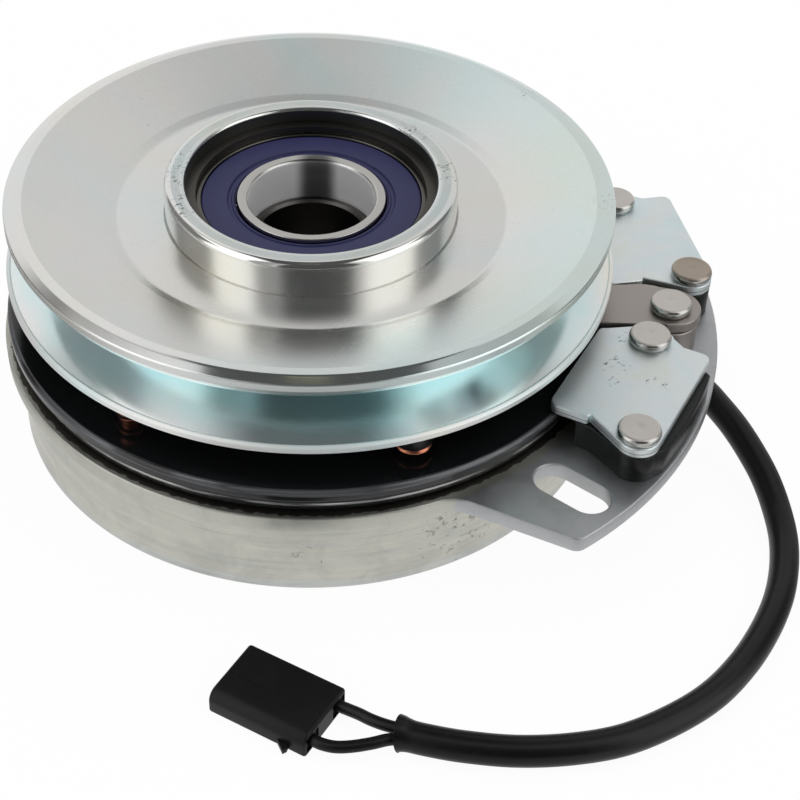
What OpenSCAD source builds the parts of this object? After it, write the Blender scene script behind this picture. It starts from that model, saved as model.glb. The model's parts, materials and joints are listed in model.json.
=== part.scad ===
// Electromagnetic clutch with a V-belt pulley and a permanent magnet brake.
// Millimetres, +Z up. The origin lies on the shaft axis, in the plane of the shell's flat bottom.
// A stack from the bottom up: field shell with its coil, rotor, armature, pulley.

/* [Shaft] */
// Diameter of the crankshaft bore
shaft_d = 25.4; // [22:0.1:28]
// Width of the keyway in the rotor hub
key_w = 6.35; // [4:0.05:8]
// Depth of the keyway past the wall of the bore
key_depth = 2.9; // [1.5:0.1:3.5]
// Wall of the rotor's nose, between the shaft and the pulley bearing
nose_wall = 2.3; // [1.8:0.1:4]
// Wall of the rotor hub, between the shaft and the field bearing
hub_wall = 4.8; // [4:0.1:7]
// How far the nose reaches into the pulley bearing
nose_reach = 12.7; // [8:0.1:16]
// Width of the rotor hub's shoulder past the nose
shoulder_w = 2.6; // [2:0.1:3]

/* [Pulley bearing] */
// Radial depth of the bearing, from its bore to its outside
pb_section = 12.5; // [11:0.1:15]
// Width of the bearing
pb_width = 23; // [18:0.5:28]
// Number of balls
pb_balls = 9; // [7:1:10]
// Radial thickness of the inner ring's end face
pb_inner_t = 2.6; // [2:0.1:3]
// Radial thickness of the outer ring's end face
pb_outer_t = 1.5; // [1.2:0.1:2]

/* [Field bearing] */
// Radial depth of the bearing, from its bore to its outside
fb_section = 13.5; // [12:0.1:15]
// Width of the bearing
fb_width = 14; // [12:0.5:16]
// Number of balls
fb_balls = 10; // [8:1:11]
// Height of the bearing's lower face above the shell's bottom
fb_lift = 3.4; // [3:0.1:5]

/* [Field shell] */
// Outside diameter of the drawn shell
shell_d = 143.8; // [136:0.1:156]
// Height of the shell, up to the top of its rim
shell_h = 25.6; // [24.6:0.1:32]
// Thickness of the shell's wall
shell_wall = 3.5; // [2.5:0.1:5]
// Thickness of the shell's floor
shell_floor = 4; // [2.5:0.1:5]
// Thickness of the shell's rim and ear
rim_t = 4; // [3:0.1:5]
// How far the rim stands out past the wall
rim_w = 2.8; // [1.5:0.1:4]
// Wall of the inner pole, outside the field bearing
pole_wall = 7; // [5:0.1:9]

/* [Ear] */
// How far the ear reaches past the wall
ear_reach = 28.1; // [26:0.1:34]
// Direction of the ear's corner beside the slot
ear_start = -51.3; // [-56:0.1:-50]
// Direction of the ear's far corner
ear_end = 27; // [26:0.1:34]
// How far the ear's straight sides lean away from the radial direction
ear_lean = 27; // [15:1:32]
// Radius of the ear's corners
ear_corner_r = 3; // [1:0.1:5]
// Radius of the fillet where the ear leaves the rim
ear_fillet_r = 9; // [4:0.5:14]
// Width of the anti-rotation slot
slot_w = 9.5; // [6:0.1:11]
// Length of the anti-rotation slot, end to end
slot_len = 19; // [14:0.1:20]
// Direction of the slot's centre
slot_angle = -45.1; // [-46:0.1:-44]
// Direction in which the slot runs
slot_turn = -37.5; // [-46:0.1:-36]

/* [Coil] */
// Wall of the coil bobbin
bobbin_wall = 1.6; // [1:0.1:2.5]
// Height of the coil bobbin
bobbin_h = 15.4; // [12:0.1:17]
// Gap between the bobbin's rim and the shell's wall
bobbin_gap = 2.4; // [1.5:0.1:4]
// Depth from the shell's top to the potting
potting_drop = 1.6; // [1:0.1:3]

/* [Rotor and armature] */
// How far the rotor stands out past the shell's wall
rotor_over = 0.4; // [0:0.1:1.5]
// Thickness of the rotor's disc
rotor_t = 2.9; // [2.4:0.1:4]
// Width of the rotor's flux slots
flux_slot_w = 2.4; // [1.5:0.1:3.5]
// Flux slots in each row
flux_slots = 6; // [4:1:8]
// Distance of the inner row of flux slots from the inner pole
inner_slot_gap = 13; // [11:0.1:14]
// Distance of the outer row of flux slots from the rotor's edge
outer_slot_gap = 7.8; // [6:0.1:9]
// Radial width of the friction ring
friction_w = 6; // [4:0.1:7]
// Depth of the friction ring's seat in the rotor
friction_t = 1.5; // [1:0.1:1.8]
// How far the armature stands out past the shell's wall
armature_over = 1.7; // [0.5:0.1:3]
// Thickness of the armature
armature_t = 3.1; // [2.5:0.1:4.5]
// Inside diameter of the armature
armature_bore = 92; // [84:0.1:96]

/* [Gaps] */
// Gap between the shell and the rotor
field_gap = 0.4; // [0.3:0.05:0.6]
// Gap between the rotor and the released armature
clutch_gap = 0.45; // [0.42:0.01:0.8]
// Gap between the released armature and the brake plates
brake_gap = 0.25; // [0.2:0.01:0.5]

/* [Springs] */
// How far the armature's springs stand above it
spring_lift = 2.75; // [2.5:0.05:4]
// Thickness of a leaf spring
spring_t = 0.7; // [0.5:0.1:1]
// Width of a leaf spring
spring_w = 7.4; // [6:0.1:10]
// Distance of the springs' rivets from the armature's edge
spring_inset = 10; // [9:0.1:12]
// Diameter of the heads of the springs' rivets
spring_rivet_d = 7.6; // [6:0.1:8]
// Direction of the first rivet that joins a spring to the pulley
spring_angle = -66; // [-75:1:-55]
// Thickness of the drive plate above the springs
drive_plate_t = 2.6; // [2:0.1:3.4]

/* [Pulley] */
// Outside diameter of the pulley's upper flange
pulley_d = 143; // [136:0.1:148]
// How much wider the lower flange is
lower_extra = 2; // [0:0.1:4]
// Width of the belt groove at its mouth
groove_w = 12.4; // [11:0.1:14]
// Depth of the belt groove
groove_depth = 14.5; // [12:0.1:16]
// Width of the groove's floor
groove_floor_w = 2.9; // [2:0.1:4]
// Height of the groove's middle above the bearing's lower face
groove_lift = 15.05; // [14:0.05:16]
// Height of the upper flange's rolled edge
edge_h = 5.4; // [4:0.1:6]
// Thickness of the lower flange at its edge
lower_edge_t = 2.2; // [1.5:0.1:3]
// Thickness of the lower flange
lower_t = 3; // [2:0.1:3.5]
// Radius of the step in the pulley's dished face
dish_r = 47.5; // [44:0.1:50]
// Height of the dished face above the groove's middle, at the hub
dish_lift = 4.65; // [4:0.05:5.5]
// Height of the step in the dished face
dish_step = 1; // [0.5:0.1:1.5]
// Wall of the pulley hub, outside its bearing
hub_ring_w = 7; // [5.5:0.1:8]
// Width of the hub's collar that carries the flanges
collar_w = 4; // [3:0.1:5]
// How far the hub rises past the bearing
hub_lip = 5.4; // [4.4:0.1:7]

/* [Brake] */
// Thickness of a brake plate
plate_t = 2.8; // [2:0.1:3.5]
// How far a brake plate covers the armature
plate_overlap = 3.8; // [3:0.1:4.5]
// Gap between a brake plate's outer edge and the ear's edge
plate_inset = 3; // [2:0.1:4]
// Direction of the brake plate beside the slot
near_plate_angle = -25.5; // [-26:0.1:-25]
// Direction of the other brake plate
far_plate_angle = 13.2; // [13:0.1:14]
// Diameter of a brake rivet's shank
rivet_d = 5; // [3:0.1:6]
// Diameter of a brake rivet's head
rivet_head_d = 9.4; // [8:0.1:9.8]
// Height of a brake rivet's head
rivet_head_h = 2.8; // [2:0.1:3.4]
// Direction of the strap between the brake plates
strap_angle = -6; // [-6.4:0.1:-5.8]
// Width of the strap
strap_w = 17.4; // [14:0.1:19]
// How far the strap reaches past its rivet
strap_end = 7.6; // [6:0.1:9]
// Radius of the spacer under the strap
spacer_r = 7; // [5:0.1:7.2]

/* [Lead] */
// Outside diameter of the lead's sleeve
sleeve_d = 6.8; // [5:0.1:8]
// Outside diameter of each wire
wire_d = 2.4; // [1.6:0.1:3]
// Direction in which the lead leaves the shell
lead_angle = -2; // [-6:0.5:8]
// Height at which the lead leaves the shell
lead_z = 14; // [12:0.5:15]
// Length of the connector
plug_len = 24.3; // [20:0.1:28]
// Width of the connector
plug_w = 16.5; // [15:0.1:20]
// Thickness of the connector
plug_t = 6; // [5.4:0.1:8]
// Distance between the connector's two wires
wire_pitch = 10.4; // [9:0.1:11]

/* [Hidden] */
$fn = 96;

// Overshoot of a cutting solid past the face that it cuts
over = 0.5;
// Slack between a ball and its groove, and between a ball and its pocket
ball_slack = 0.12;
// Running gap between a seal and the inner ring
seal_gap = 0.3;
// Thickness of a bearing seal, and how far it lies below the rings' faces
seal_t = 1.2;
seal_drop = 0.4;
seal_seat = seal_t + seal_drop;
// Thickness of a retaining ring, its gap to the bearing and its depth in the groove
ring_t = 1.6;
ring_gap = 0.1;
ring_depth = 1.4;
// Overlap of two curves that would otherwise only touch
touch = 0.05;
// Small bevel on machined edges
bevel = 0.6;

// Radii, from the shaft outwards
shaft_r = shaft_d / 2;
nose_r = shaft_r + nose_wall;
pb_out_r = nose_r + pb_section;
pb_mid_r = nose_r + pb_section / 2;
pb_ball_r = min(pb_section * 0.33, pb_width / 2 - seal_seat - 0.4);
hub_r = shaft_r + hub_wall;
hub_flange_r = hub_r + 2.5;
fb_out_r = hub_r + fb_section;
fb_mid_r = hub_r + fb_section / 2;
fb_ball_r = min(fb_section * 0.32, fb_width / 2 - seal_seat - 0.4);
fb_ring_t = 2.8;
pole_r = fb_out_r + pole_wall;
shell_r = shell_d / 2;
shell_in_r = shell_r - shell_wall;
rim_r = shell_r + rim_w;
ear_r = shell_r + ear_reach;
rotor_r = shell_r + rotor_over;
armature_r = shell_r + armature_over;
armature_in_r = armature_bore / 2;
inner_slot_r = pole_r + inner_slot_gap;
outer_slot_r = rotor_r - outer_slot_gap;
friction_r = (inner_slot_r + outer_slot_r) / 2;
spring_r = armature_r - spring_inset;
spring_rivet_r = spring_rivet_d / 2;
spring_tail_h = 1.3;
spring_shank_r = 2;
pulley_r = pulley_d / 2;
lower_r = pulley_r + lower_extra / 2;
groove_r = pulley_r - groove_depth;
hub_out_r = pb_out_r + hub_ring_w;
hub_mouth_r = pb_out_r + 2.1;
collar_r = hub_out_r + collar_w;

// Heights, from the shell's bottom upwards
rotor_z = shell_h + field_gap;
rotor_top = rotor_z + rotor_t;
armature_z = rotor_top + clutch_gap;
armature_top = armature_z + armature_t;
plate_z = armature_top + brake_gap;
plate_top = plate_z + plate_t;
spring_z = armature_top + spring_lift;
drive_plate_z = spring_z + spring_t;
drive_plate_top = drive_plate_z + drive_plate_t;
pb_z = max(rotor_top + 6.9, drive_plate_top - 3.45);
pb_top = pb_z + pb_width;
nose_top = pb_z + nose_reach;
hub_top = pb_top + hub_lip;
groove_z = pb_z + groove_lift;
flange_joint_z = groove_z - groove_floor_w / 2;
dish_z = groove_z + dish_lift;
upper_edge_z = groove_z + groove_w / 2;
lower_edge_z = groove_z - groove_w / 2;
fb_top = fb_lift + fb_width;
bobbin_z = shell_floor + 0.3;
bobbin_top = bobbin_z + bobbin_h;
rim_z = shell_h - rim_t;

// Brake plate in its own axes: u runs outwards and v across, with the plate's direction as u
plate_in_u = armature_r - plate_overlap;
plate_out_u = ear_r - plate_inset;
plate_far_v = 17.6;
plate_near_v = -16.1;
kink_u = plate_out_u - 17;
inner_rivet = [plate_out_u - 15, 16];
outer_rivet = [plate_out_u - 5.2, -16.2];
rivet_land_r = 6.1;
rivet_end_r = 5.1;
holder_in_r = armature_r + 5;
holder_out_r = ear_r - 0.7;
holder_boss_r = 5;
magnet_size = [12, 18, plate_z - shell_h];
strap_rivet_place = [ear_r - 12.7, 1];

rivet_tail_h = 2;
rivet_tail_r = rivet_d / 2 + 1.4;

// Lead route: points along the middle of the sleeve and of each wire, chosen by hand
sleeve_route = [
    [75.6, -2.6, 14], [79, -2.7, 14], [83, -3.2, 14], [87, -4.5, 14], [91, -6.6, 14],
    [94.6, -9.5, 13.9], [97.8, -13, 13.5], [101, -17.6, 12.7], [105, -23.2, 11.4],
    [108.6, -29.5, 9.4], [111.3, -36.5, 7.2], [112.9, -44.5, 5], [113.3, -53.5, 3.8],
    [112.3, -63, 3.5], [110, -72.5, 3.5], [105.8, -82.5, 3.5], [100, -92.5, 3.5],
    [92.4, -101.5, 3.5], [83, -108.6, 3.5], [72, -114, 3.5], [61, -116.9, 3.5],
    [49.5, -118, 3.5], [38.5, -117.3, 3.5], [30, -115.8, 3.5], [24, -114.2, 3.5]
];
wire_a_route = [
    [24.4, -112.7, 3.5], [21.4, -111.9, 3.4], [18.4, -110.9, 3.3], [16.2, -109.7, 3.1],
    [14.2, -108.6, 3], [12, -107.4, 3]
];
wire_b_route = [
    [23.6, -115.7, 3.5], [22.1, -115.3, 3.5], [19.6, -115.9, 3.4], [16.9, -117.4, 3.3],
    [14.2, -118.5, 3.1], [11.5, -118.7, 3], [9.2, -117.8, 3], [7, -116.6, 3]
];
plug_centre = [-1.2, -106.2];
plug_turn = -28.5;
plug_wall = 1.2;
cell_w = plug_w / 2 - 1.5 * plug_wall;
cell_v = plug_wall / 2 + cell_w / 2;
grommet_nose = 3.7;
lead_bore_r = sleeve_d / 2 + 0.8;

// ---------- shared shapes ----------

module ring(r_in, r_out, z0, z1) {
    translate([0, 0, z0])
        difference() {
            cylinder(h = z1 - z0, r = r_out);
            translate([0, 0, -over]) cylinder(h = z1 - z0 + 2 * over, r = r_in);
        }
}

module disc(r, z0, z1) {
    translate([0, 0, z0]) cylinder(h = z1 - z0, r = r);
}

module turned(points) {
    rotate_extrude() polygon(points);
}

module at_polar(r, a) {
    rotate(a) translate([r, 0, 0]) children();
}

// A retaining ring open by a few millimetres, with a lug beside each end
module split_ring(r_in, r_out, z0, lug_r) {
    gap_w = 5;
    difference() {
        union() {
            ring(r_in, r_out, z0, z0 + ring_t);
            for (side = [-1, 1])
                translate([lug_r, side * (gap_w / 2 + 1.6), z0]) cylinder(h = ring_t, r = 1.9);
        }
        translate([0, -gap_w / 2, z0 - over]) cube([r_out + 5, gap_w, ring_t + 2 * over]);
        for (side = [-1, 1])
            translate([lug_r, side * (gap_w / 2 + 1.6), z0 - over])
                cylinder(h = ring_t + 2 * over, r = 0.8);
    }
}

module ball_groove(mid_r, z, ball_r) {
    translate([0, 0, z])
        rotate_extrude() translate([mid_r, 0]) circle(r = ball_r + ball_slack, $fn = 48);
}

module inner_race(r_in, t, mid_r, ball_r, z0, width) {
    difference() {
        turned([
            [r_in, z0 + bevel], [r_in + bevel, z0], [r_in + t, z0],
            [r_in + t, z0 + width], [r_in + bevel, z0 + width], [r_in, z0 + width - bevel]
        ]);
        ball_groove(mid_r, z0 + width / 2, ball_r);
    }
}

// The outer ring is thin at its faces, where the seals sit, and thicker round the balls
module outer_race(r_out, t, track_t, mid_r, ball_r, z0, width) {
    difference() {
        turned([
            [r_out - t, z0], [r_out - bevel, z0], [r_out, z0 + bevel],
            [r_out, z0 + width - bevel], [r_out - bevel, z0 + width], [r_out - t, z0 + width],
            [r_out - t, z0 + width - seal_seat], [r_out - track_t, z0 + width - seal_seat],
            [r_out - track_t, z0 + seal_seat], [r_out - t, z0 + seal_seat]
        ]);
        ball_groove(mid_r, z0 + width / 2, ball_r);
    }
}

module ball_set(count, mid_r, ball_r, z) {
    for (i = [0 : count - 1])
        rotate(360 * i / count) translate([mid_r, 0, z]) sphere(r = ball_r, $fn = 48);
}

module cage_ring(count, mid_r, ball_r, z, thick, width) {
    half_h = min(ball_r + 1, width / 2 - seal_seat - 0.3);
    difference() {
        ring(mid_r - thick / 2, mid_r + thick / 2, z - half_h, z + half_h);
        for (i = [0 : count - 1])
            rotate(360 * i / count) translate([mid_r, 0, z])
                sphere(r = ball_r + ball_slack, $fn = 48);
    }
}

// A rivet with a low button head, a shank and a flat tail
module rivet(shank_r, head_r, head_h, z_tail, z_seat, tail_h, tail_r) {
    translate([0, 0, z_seat]) cylinder(h = head_h - bevel, r = head_r);
    translate([0, 0, z_seat + head_h - bevel]) cylinder(h = bevel, r1 = head_r, r2 = head_r - bevel);
    translate([0, 0, z_tail]) cylinder(h = z_seat - z_tail, r = shank_r);
    translate([0, 0, z_tail - tail_h]) cylinder(h = tail_h, r = tail_r);
}

// A tube swept along a route, with its ends square to the route
function unit(v) = v / norm(v);
function heading(route, i) = unit(route[min(i + 1, len(route) - 1)] - route[max(i - 1, 0)]);
function side_of(d) = unit(cross([0, 0, 1], d));
function hoop(p, d, r, n) = [
    for (k = [0 : n - 1])
        p + r * (cos(360 * k / n) * side_of(d) + sin(360 * k / n) * cross(d, side_of(d)))
];
module swept_tube(route, r, n) {
    last = len(route) - 1;
    points = [for (i = [0 : last]) each hoop(route[i], heading(route, i), r, n)];
    sides = [
        for (i = [0 : last - 1], k = [0 : n - 1])
            [i * n + k, (i + 1) * n + k, (i + 1) * n + (k + 1) % n, i * n + (k + 1) % n]
    ];
    near_end = [for (k = [0 : n - 1]) k];
    far_end = [for (k = [n - 1 : -1 : 0]) last * n + k];
    polyhedron(points = points, faces = concat([near_end], sides, [far_end]), convexity = 8);
}

// ---------- field: shell, coil and bearing ----------

// The ear has two straight sides. A side's number is 1 for the far one and -1 for the one by
// the slot. Each starts at a corner on the ear's edge and runs in to the rim.
function ear_angle(side) = side == 1 ? ear_end : ear_start;
function ear_corner(side) = ear_r * [cos(ear_angle(side)), sin(ear_angle(side))];
function ear_inward(side) =
    let(a = ear_angle(side) + side * (180 - ear_lean)) [cos(a), sin(a)];
function ear_outward(side) = let(d = ear_inward(side)) side * [d[1], -d[0]];
// Centre of a circle beside a side's line, off away from it, at the distance c_r from the axis
function beside_line(side, off, c_r) =
    let(d = ear_inward(side), base = ear_corner(side) + off * ear_outward(side),
        foot = base - (base * d) * d)
    foot - sqrt(c_r * c_r - foot * foot) * d;
function corner_centre(side) = beside_line(side, -ear_corner_r, ear_r - ear_corner_r - touch);
function fillet_centre(side) = beside_line(side, ear_fillet_r, rim_r + ear_fillet_r);

// Half of the ear on one side of the line at the angle mid
module ear_half(side, mid) {
    corner = corner_centre(side);
    fillet = fillet_centre(side);
    reach = 2 * ear_r;
    intersection() {
        circle(r = ear_r);
        polygon([
            [0, 0], fillet * 0.8, fillet - ear_fillet_r * ear_outward(side),
            corner + (ear_corner_r - touch) * ear_outward(side), corner, corner * 1.6,
            reach * [cos(mid), sin(mid)]
        ]);
    }
    translate(corner) circle(r = ear_corner_r);
}

module ear_outline() {
    mid = (ear_start + ear_end) / 2;
    difference() {
        union() {
            ear_half(1, mid);
            ear_half(-1, mid);
        }
        for (side = [-1, 1])
            translate(fillet_centre(side)) circle(r = ear_fillet_r + touch);
    }
}

module slot_outline() {
    at_polar((ear_r + rim_r) / 2 - 0.1, slot_angle)
        rotate(slot_turn - slot_angle) {
            square([slot_len - slot_w, slot_w], center = true);
            for (side = [-1, 1])
                translate([side * (slot_len - slot_w) / 2, 0]) circle(r = slot_w / 2);
        }
}

module at_brake_rivets() {
    for (angle = [near_plate_angle, far_plate_angle], place = [inner_rivet, outer_rivet])
        rotate(angle) translate(place) children();
}

module at_strap_rivet() {
    rotate(strap_angle) translate(strap_rivet_place) children();
}

module lead_bore(from_r, length) {
    rotate(lead_angle) translate([from_r, 0, lead_z])
        rotate([0, 90, 0]) cylinder(h = length, r = lead_bore_r);
}

module field_shell() {
    color([0.66, 0.66, 0.63])
        difference() {
            turned([
                [shell_in_r, 0], [shell_r - 1.2, 0], [shell_r, 1.2], [shell_r, rim_z - 1.6],
                [shell_r + 1.6, rim_z], [shell_in_r, rim_z]
            ]);
            lead_bore(shell_in_r - 2, shell_wall + 4);
        }
}

// The flat floor joins the shell's wall to the inner pole
module field_floor() {
    color([0.64, 0.64, 0.61]) ring(pole_r, shell_in_r, 0, shell_floor);
}

// The flat flange closes the shell's open end and reaches out as the ear
module field_flange() {
    color([0.6, 0.6, 0.6])
        difference() {
            union() {
                turned([
                    [shell_in_r, rim_z], [rim_r - 0.5, rim_z], [rim_r, rim_z + 0.5],
                    [rim_r, shell_h - 0.7], [rim_r - 0.7, shell_h], [shell_in_r, shell_h]
                ]);
                difference() {
                    translate([0, 0, rim_z]) linear_extrude(rim_t) ear_outline();
                    disc(shell_r - 1, rim_z - over, shell_h + over);
                }
            }
            translate([0, 0, rim_z - over]) linear_extrude(rim_t + 2 * over) slot_outline();
            at_brake_rivets() disc(rivet_d / 2, rim_z - over, shell_h + over);
            at_strap_rivet() disc(rivet_d / 2, rim_z - over, shell_h + over);
        }
}

module inner_pole() {
    groove_bottom = fb_lift - ring_gap - ring_t;
    color([0.55, 0.55, 0.53])
        turned([
            [fb_out_r + bevel, 0], [pole_r, 0], [pole_r, shell_h - bevel], [pole_r - bevel, shell_h],
            [fb_out_r, shell_h], [fb_out_r, fb_top + 2], [fb_out_r - 2.5, fb_top + 2],
            [fb_out_r - 2.5, fb_top], [fb_out_r, fb_top],
            [fb_out_r, groove_bottom + ring_t], [fb_out_r + ring_depth, groove_bottom + ring_t],
            [fb_out_r + ring_depth, groove_bottom], [fb_out_r, groove_bottom],
            [fb_out_r, bevel]
        ]);
}

module coil_bobbin() {
    inner = pole_r + 0.3;
    outer = shell_in_r - bobbin_gap;
    color([0.82, 0.78, 0.66])
        turned([
            [inner, bobbin_z], [outer, bobbin_z], [outer, bobbin_z + bobbin_wall],
            [inner + bobbin_wall, bobbin_z + bobbin_wall],
            [inner + bobbin_wall, bobbin_top - bobbin_wall],
            [outer, bobbin_top - bobbin_wall], [outer, bobbin_top], [inner, bobbin_top]
        ]);
}

module coil_winding() {
    color([0.72, 0.4, 0.2])
        ring(pole_r + 0.3 + bobbin_wall, shell_in_r - bobbin_gap - 0.8,
             bobbin_z + bobbin_wall, bobbin_top - bobbin_wall);
}

module coil_potting() {
    color([0.12, 0.12, 0.13])
        difference() {
            turned([
                [pole_r, bobbin_top], [shell_in_r - bobbin_gap, bobbin_top],
                [shell_in_r - bobbin_gap, shell_floor], [shell_in_r, shell_floor],
                [shell_in_r, shell_h - potting_drop], [pole_r, shell_h - potting_drop]
            ]);
            lead_bore(shell_in_r - bobbin_gap - 1, bobbin_gap + 2);
        }
}

// The grommet fills the shell's hole, with a flange outside and a nose round the sleeve's end
module cable_grommet() {
    flange_t = 1.6;
    inner_r = shell_in_r - 1.2;
    color([0.1, 0.1, 0.1]) {
        lead_bore(inner_r, shell_r + grommet_nose - inner_r);
        difference() {
            rotate(lead_angle) translate([shell_r - 2, 0, lead_z])
                rotate([0, 90, 0]) cylinder(h = flange_t + 2, r = lead_bore_r + 1.2);
            disc(shell_r, 0, rim_z);
        }
    }
}

module field_bearing_outer_race() {
    color([0.7, 0.7, 0.7])
        outer_race(fb_out_r, 1.8, 3.8, fb_mid_r, fb_ball_r, fb_lift, fb_width);
}

module field_bearing_inner_race() {
    color([0.7, 0.7, 0.7]) inner_race(hub_r, fb_ring_t, fb_mid_r, fb_ball_r, fb_lift, fb_width);
}

module field_bearing_seals() {
    color([0.09, 0.09, 0.1])
        for (z = [fb_lift + seal_drop, fb_top - seal_drop - seal_t])
            ring(hub_r + fb_ring_t + seal_gap, fb_out_r - 1.8, z, z + seal_t);
}

module field_bearing_cage() {
    color([0.75, 0.6, 0.3])
        cage_ring(fb_balls, fb_mid_r, fb_ball_r, fb_lift + fb_width / 2, 3, fb_width);
}

module field_bearing_balls() {
    color([0.8, 0.8, 0.8]) ball_set(fb_balls, fb_mid_r, fb_ball_r, fb_lift + fb_width / 2);
}

module field_bearing_circlip() {
    color([0.3, 0.3, 0.3])
        rotate(180)
            split_ring(fb_out_r - 2.6, fb_out_r + ring_depth - 0.1, fb_lift - ring_gap - ring_t,
                       fb_out_r - 3.4);
}

module hub_snap_ring() {
    color([0.3, 0.3, 0.3])
        split_ring(hub_r - ring_depth + 0.1, hub_r + 2.2, fb_lift - ring_gap - ring_t, hub_r + 1.6);
}

// ---------- rotor ----------

module rotor_disc() {
    arc = 360 / flux_slots * 0.72;
    color([0.07, 0.07, 0.08])
        difference() {
            turned([
                [hub_flange_r, rotor_z], [rotor_r - 0.5, rotor_z], [rotor_r, rotor_z + 0.5],
                [rotor_r, rotor_top - 0.5], [rotor_r - 0.5, rotor_top],
                [friction_r + friction_w / 2, rotor_top],
                [friction_r + friction_w / 2, rotor_top - friction_t],
                [friction_r - friction_w / 2, rotor_top - friction_t],
                [friction_r - friction_w / 2, rotor_top], [hub_flange_r, rotor_top]
            ]);
            for (r = [inner_slot_r, outer_slot_r], i = [0 : flux_slots - 1])
                rotate(360 * (i + (r == outer_slot_r ? 0.5 : 0)) / flux_slots) flux_slot(r, arc);
        }
}

module flux_slot(r, arc) {
    tall = rotor_t + 2 * over;
    translate([0, 0, rotor_z - over]) {
        rotate(-arc / 2) rotate_extrude(angle = arc)
            translate([r - flux_slot_w / 2, 0]) square([flux_slot_w, tall]);
        for (side = [-1, 1])
            rotate(side * arc / 2) translate([r, 0, 0]) cylinder(h = tall, r = flux_slot_w / 2, $fn = 32);
    }
}

module rotor_hub() {
    shoulder_r = nose_r + shoulder_w;
    seat_z = fb_lift - ring_gap - ring_t;
    color([0.2, 0.2, 0.21])
        difference() {
            turned([
                [hub_r - bevel, 0], [hub_r, bevel],
                [hub_r, seat_z], [hub_r - ring_depth, seat_z],
                [hub_r - ring_depth, seat_z + ring_t], [hub_r, seat_z + ring_t],
                [hub_r, fb_top], [hub_flange_r, fb_top], [hub_flange_r, rotor_top],
                [shoulder_r, rotor_top], [shoulder_r, pb_z], [nose_r, pb_z],
                [nose_r, nose_top - bevel], [nose_r - bevel, nose_top],
                [shaft_r + bevel, nose_top], [shaft_r, nose_top - bevel], [shaft_r, 0]
            ]);
            translate([0, -key_w / 2, -over])
                cube([shaft_r + key_depth, key_w, rotor_z + over]);
        }
}

module friction_ring() {
    color([0.35, 0.27, 0.2])
        ring(friction_r - friction_w / 2, friction_r + friction_w / 2,
             rotor_top - friction_t, rotor_top);
}

// ---------- pulley bearing ----------

module pulley_bearing_inner_race() {
    color([0.7, 0.69, 0.66])
        inner_race(nose_r, pb_inner_t, pb_mid_r, pb_ball_r, pb_z, pb_width);
}

module pulley_bearing_outer_race() {
    color([0.6, 0.6, 0.6])
        outer_race(pb_out_r, pb_outer_t, 3.3, pb_mid_r, pb_ball_r, pb_z, pb_width);
}

module bearing_seal(z) {
    ring(nose_r + pb_inner_t + seal_gap, pb_out_r - pb_outer_t, z, z + seal_t);
}

module upper_bearing_seal() {
    color([0.23, 0.23, 0.4]) bearing_seal(pb_top - seal_drop - seal_t);
}

module lower_bearing_seal() {
    color([0.23, 0.23, 0.4]) bearing_seal(pb_z + seal_drop);
}

module pulley_bearing_cage() {
    color([0.75, 0.6, 0.3])
        cage_ring(pb_balls, pb_mid_r, pb_ball_r, pb_z + pb_width / 2, 2.8, pb_width);
}

module pulley_bearing_balls() {
    color([0.8, 0.8, 0.8]) ball_set(pb_balls, pb_mid_r, pb_ball_r, pb_z + pb_width / 2);
}

module hub_circlip() {
    color([0.1, 0.1, 0.11])
        rotate(-90)
            split_ring(pb_out_r - 0.3, hub_mouth_r + 1.1, pb_top + ring_gap, pb_out_r + 0.9);
}

// ---------- pulley ----------

module pulley_hub() {
    seat = pb_top + ring_gap;
    color([0.8, 0.82, 0.82])
        turned([
            [pb_out_r - 2.6, pb_z - 1.6], [hub_out_r, pb_z - 1.6], [hub_out_r, drive_plate_top],
            [collar_r, drive_plate_top], [collar_r, flange_joint_z - lower_t],
            [hub_out_r, flange_joint_z - lower_t],
            [hub_out_r, hub_top - 0.8], [hub_out_r - 0.8, hub_top],
            [hub_mouth_r + 0.3, hub_top], [hub_mouth_r, hub_top - 0.6],
            [hub_mouth_r, seat + ring_t], [hub_mouth_r + 1.2, seat + ring_t],
            [hub_mouth_r + 1.2, seat],
            [pb_out_r, seat], [pb_out_r, pb_z], [pb_out_r - 2.6, pb_z]
        ]);
}

module upper_flange() {
    top_z = upper_edge_z + edge_h;
    round_r = 1.6;
    color([0.8, 0.83, 0.83])
        turned([
            [hub_out_r, flange_joint_z], [groove_r, flange_joint_z],
            [groove_r, flange_joint_z + groove_floor_w],
            [pulley_r - round_r, upper_edge_z], [pulley_r - 0.5, upper_edge_z + 0.5],
            [pulley_r, upper_edge_z + round_r], [pulley_r, top_z - 1.9],
            [pulley_r - 0.6, top_z - 0.7], [pulley_r - 1.9, top_z], [pulley_r - 3.2, top_z - 0.2],
            [dish_r + 1.2, dish_z + dish_step], [dish_r - 1.2, dish_z], [hub_out_r, dish_z]
        ]);
}

module lower_flange() {
    color([0.8, 0.83, 0.83])
        turned([
            [hub_out_r, flange_joint_z - lower_t], [groove_r, flange_joint_z - lower_t],
            [lower_r - 0.6, lower_edge_z - lower_edge_t], [lower_r, lower_edge_z - lower_edge_t + 0.6],
            [lower_r, lower_edge_z - 0.6], [lower_r - 0.6, lower_edge_z],
            [groove_r, flange_joint_z], [hub_out_r, flange_joint_z]
        ]);
}

module drive_plate_outline() {
    end_r = spring_rivet_r + 0.6;
    arm_w = 2 * end_r - 1.2;
    difference() {
        union() {
            circle(r = hub_out_r + 16);
            for (i = [0 : 2])
                rotate(spring_angle + 120 * i) {
                    translate([0, -arm_w / 2]) square([spring_r, arm_w]);
                    translate([spring_r, 0]) circle(r = end_r);
                }
        }
        circle(r = hub_out_r);
        for (i = [0 : 2])
            at_polar(spring_r, spring_angle + 120 * i) circle(r = spring_shank_r);
    }
}

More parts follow.
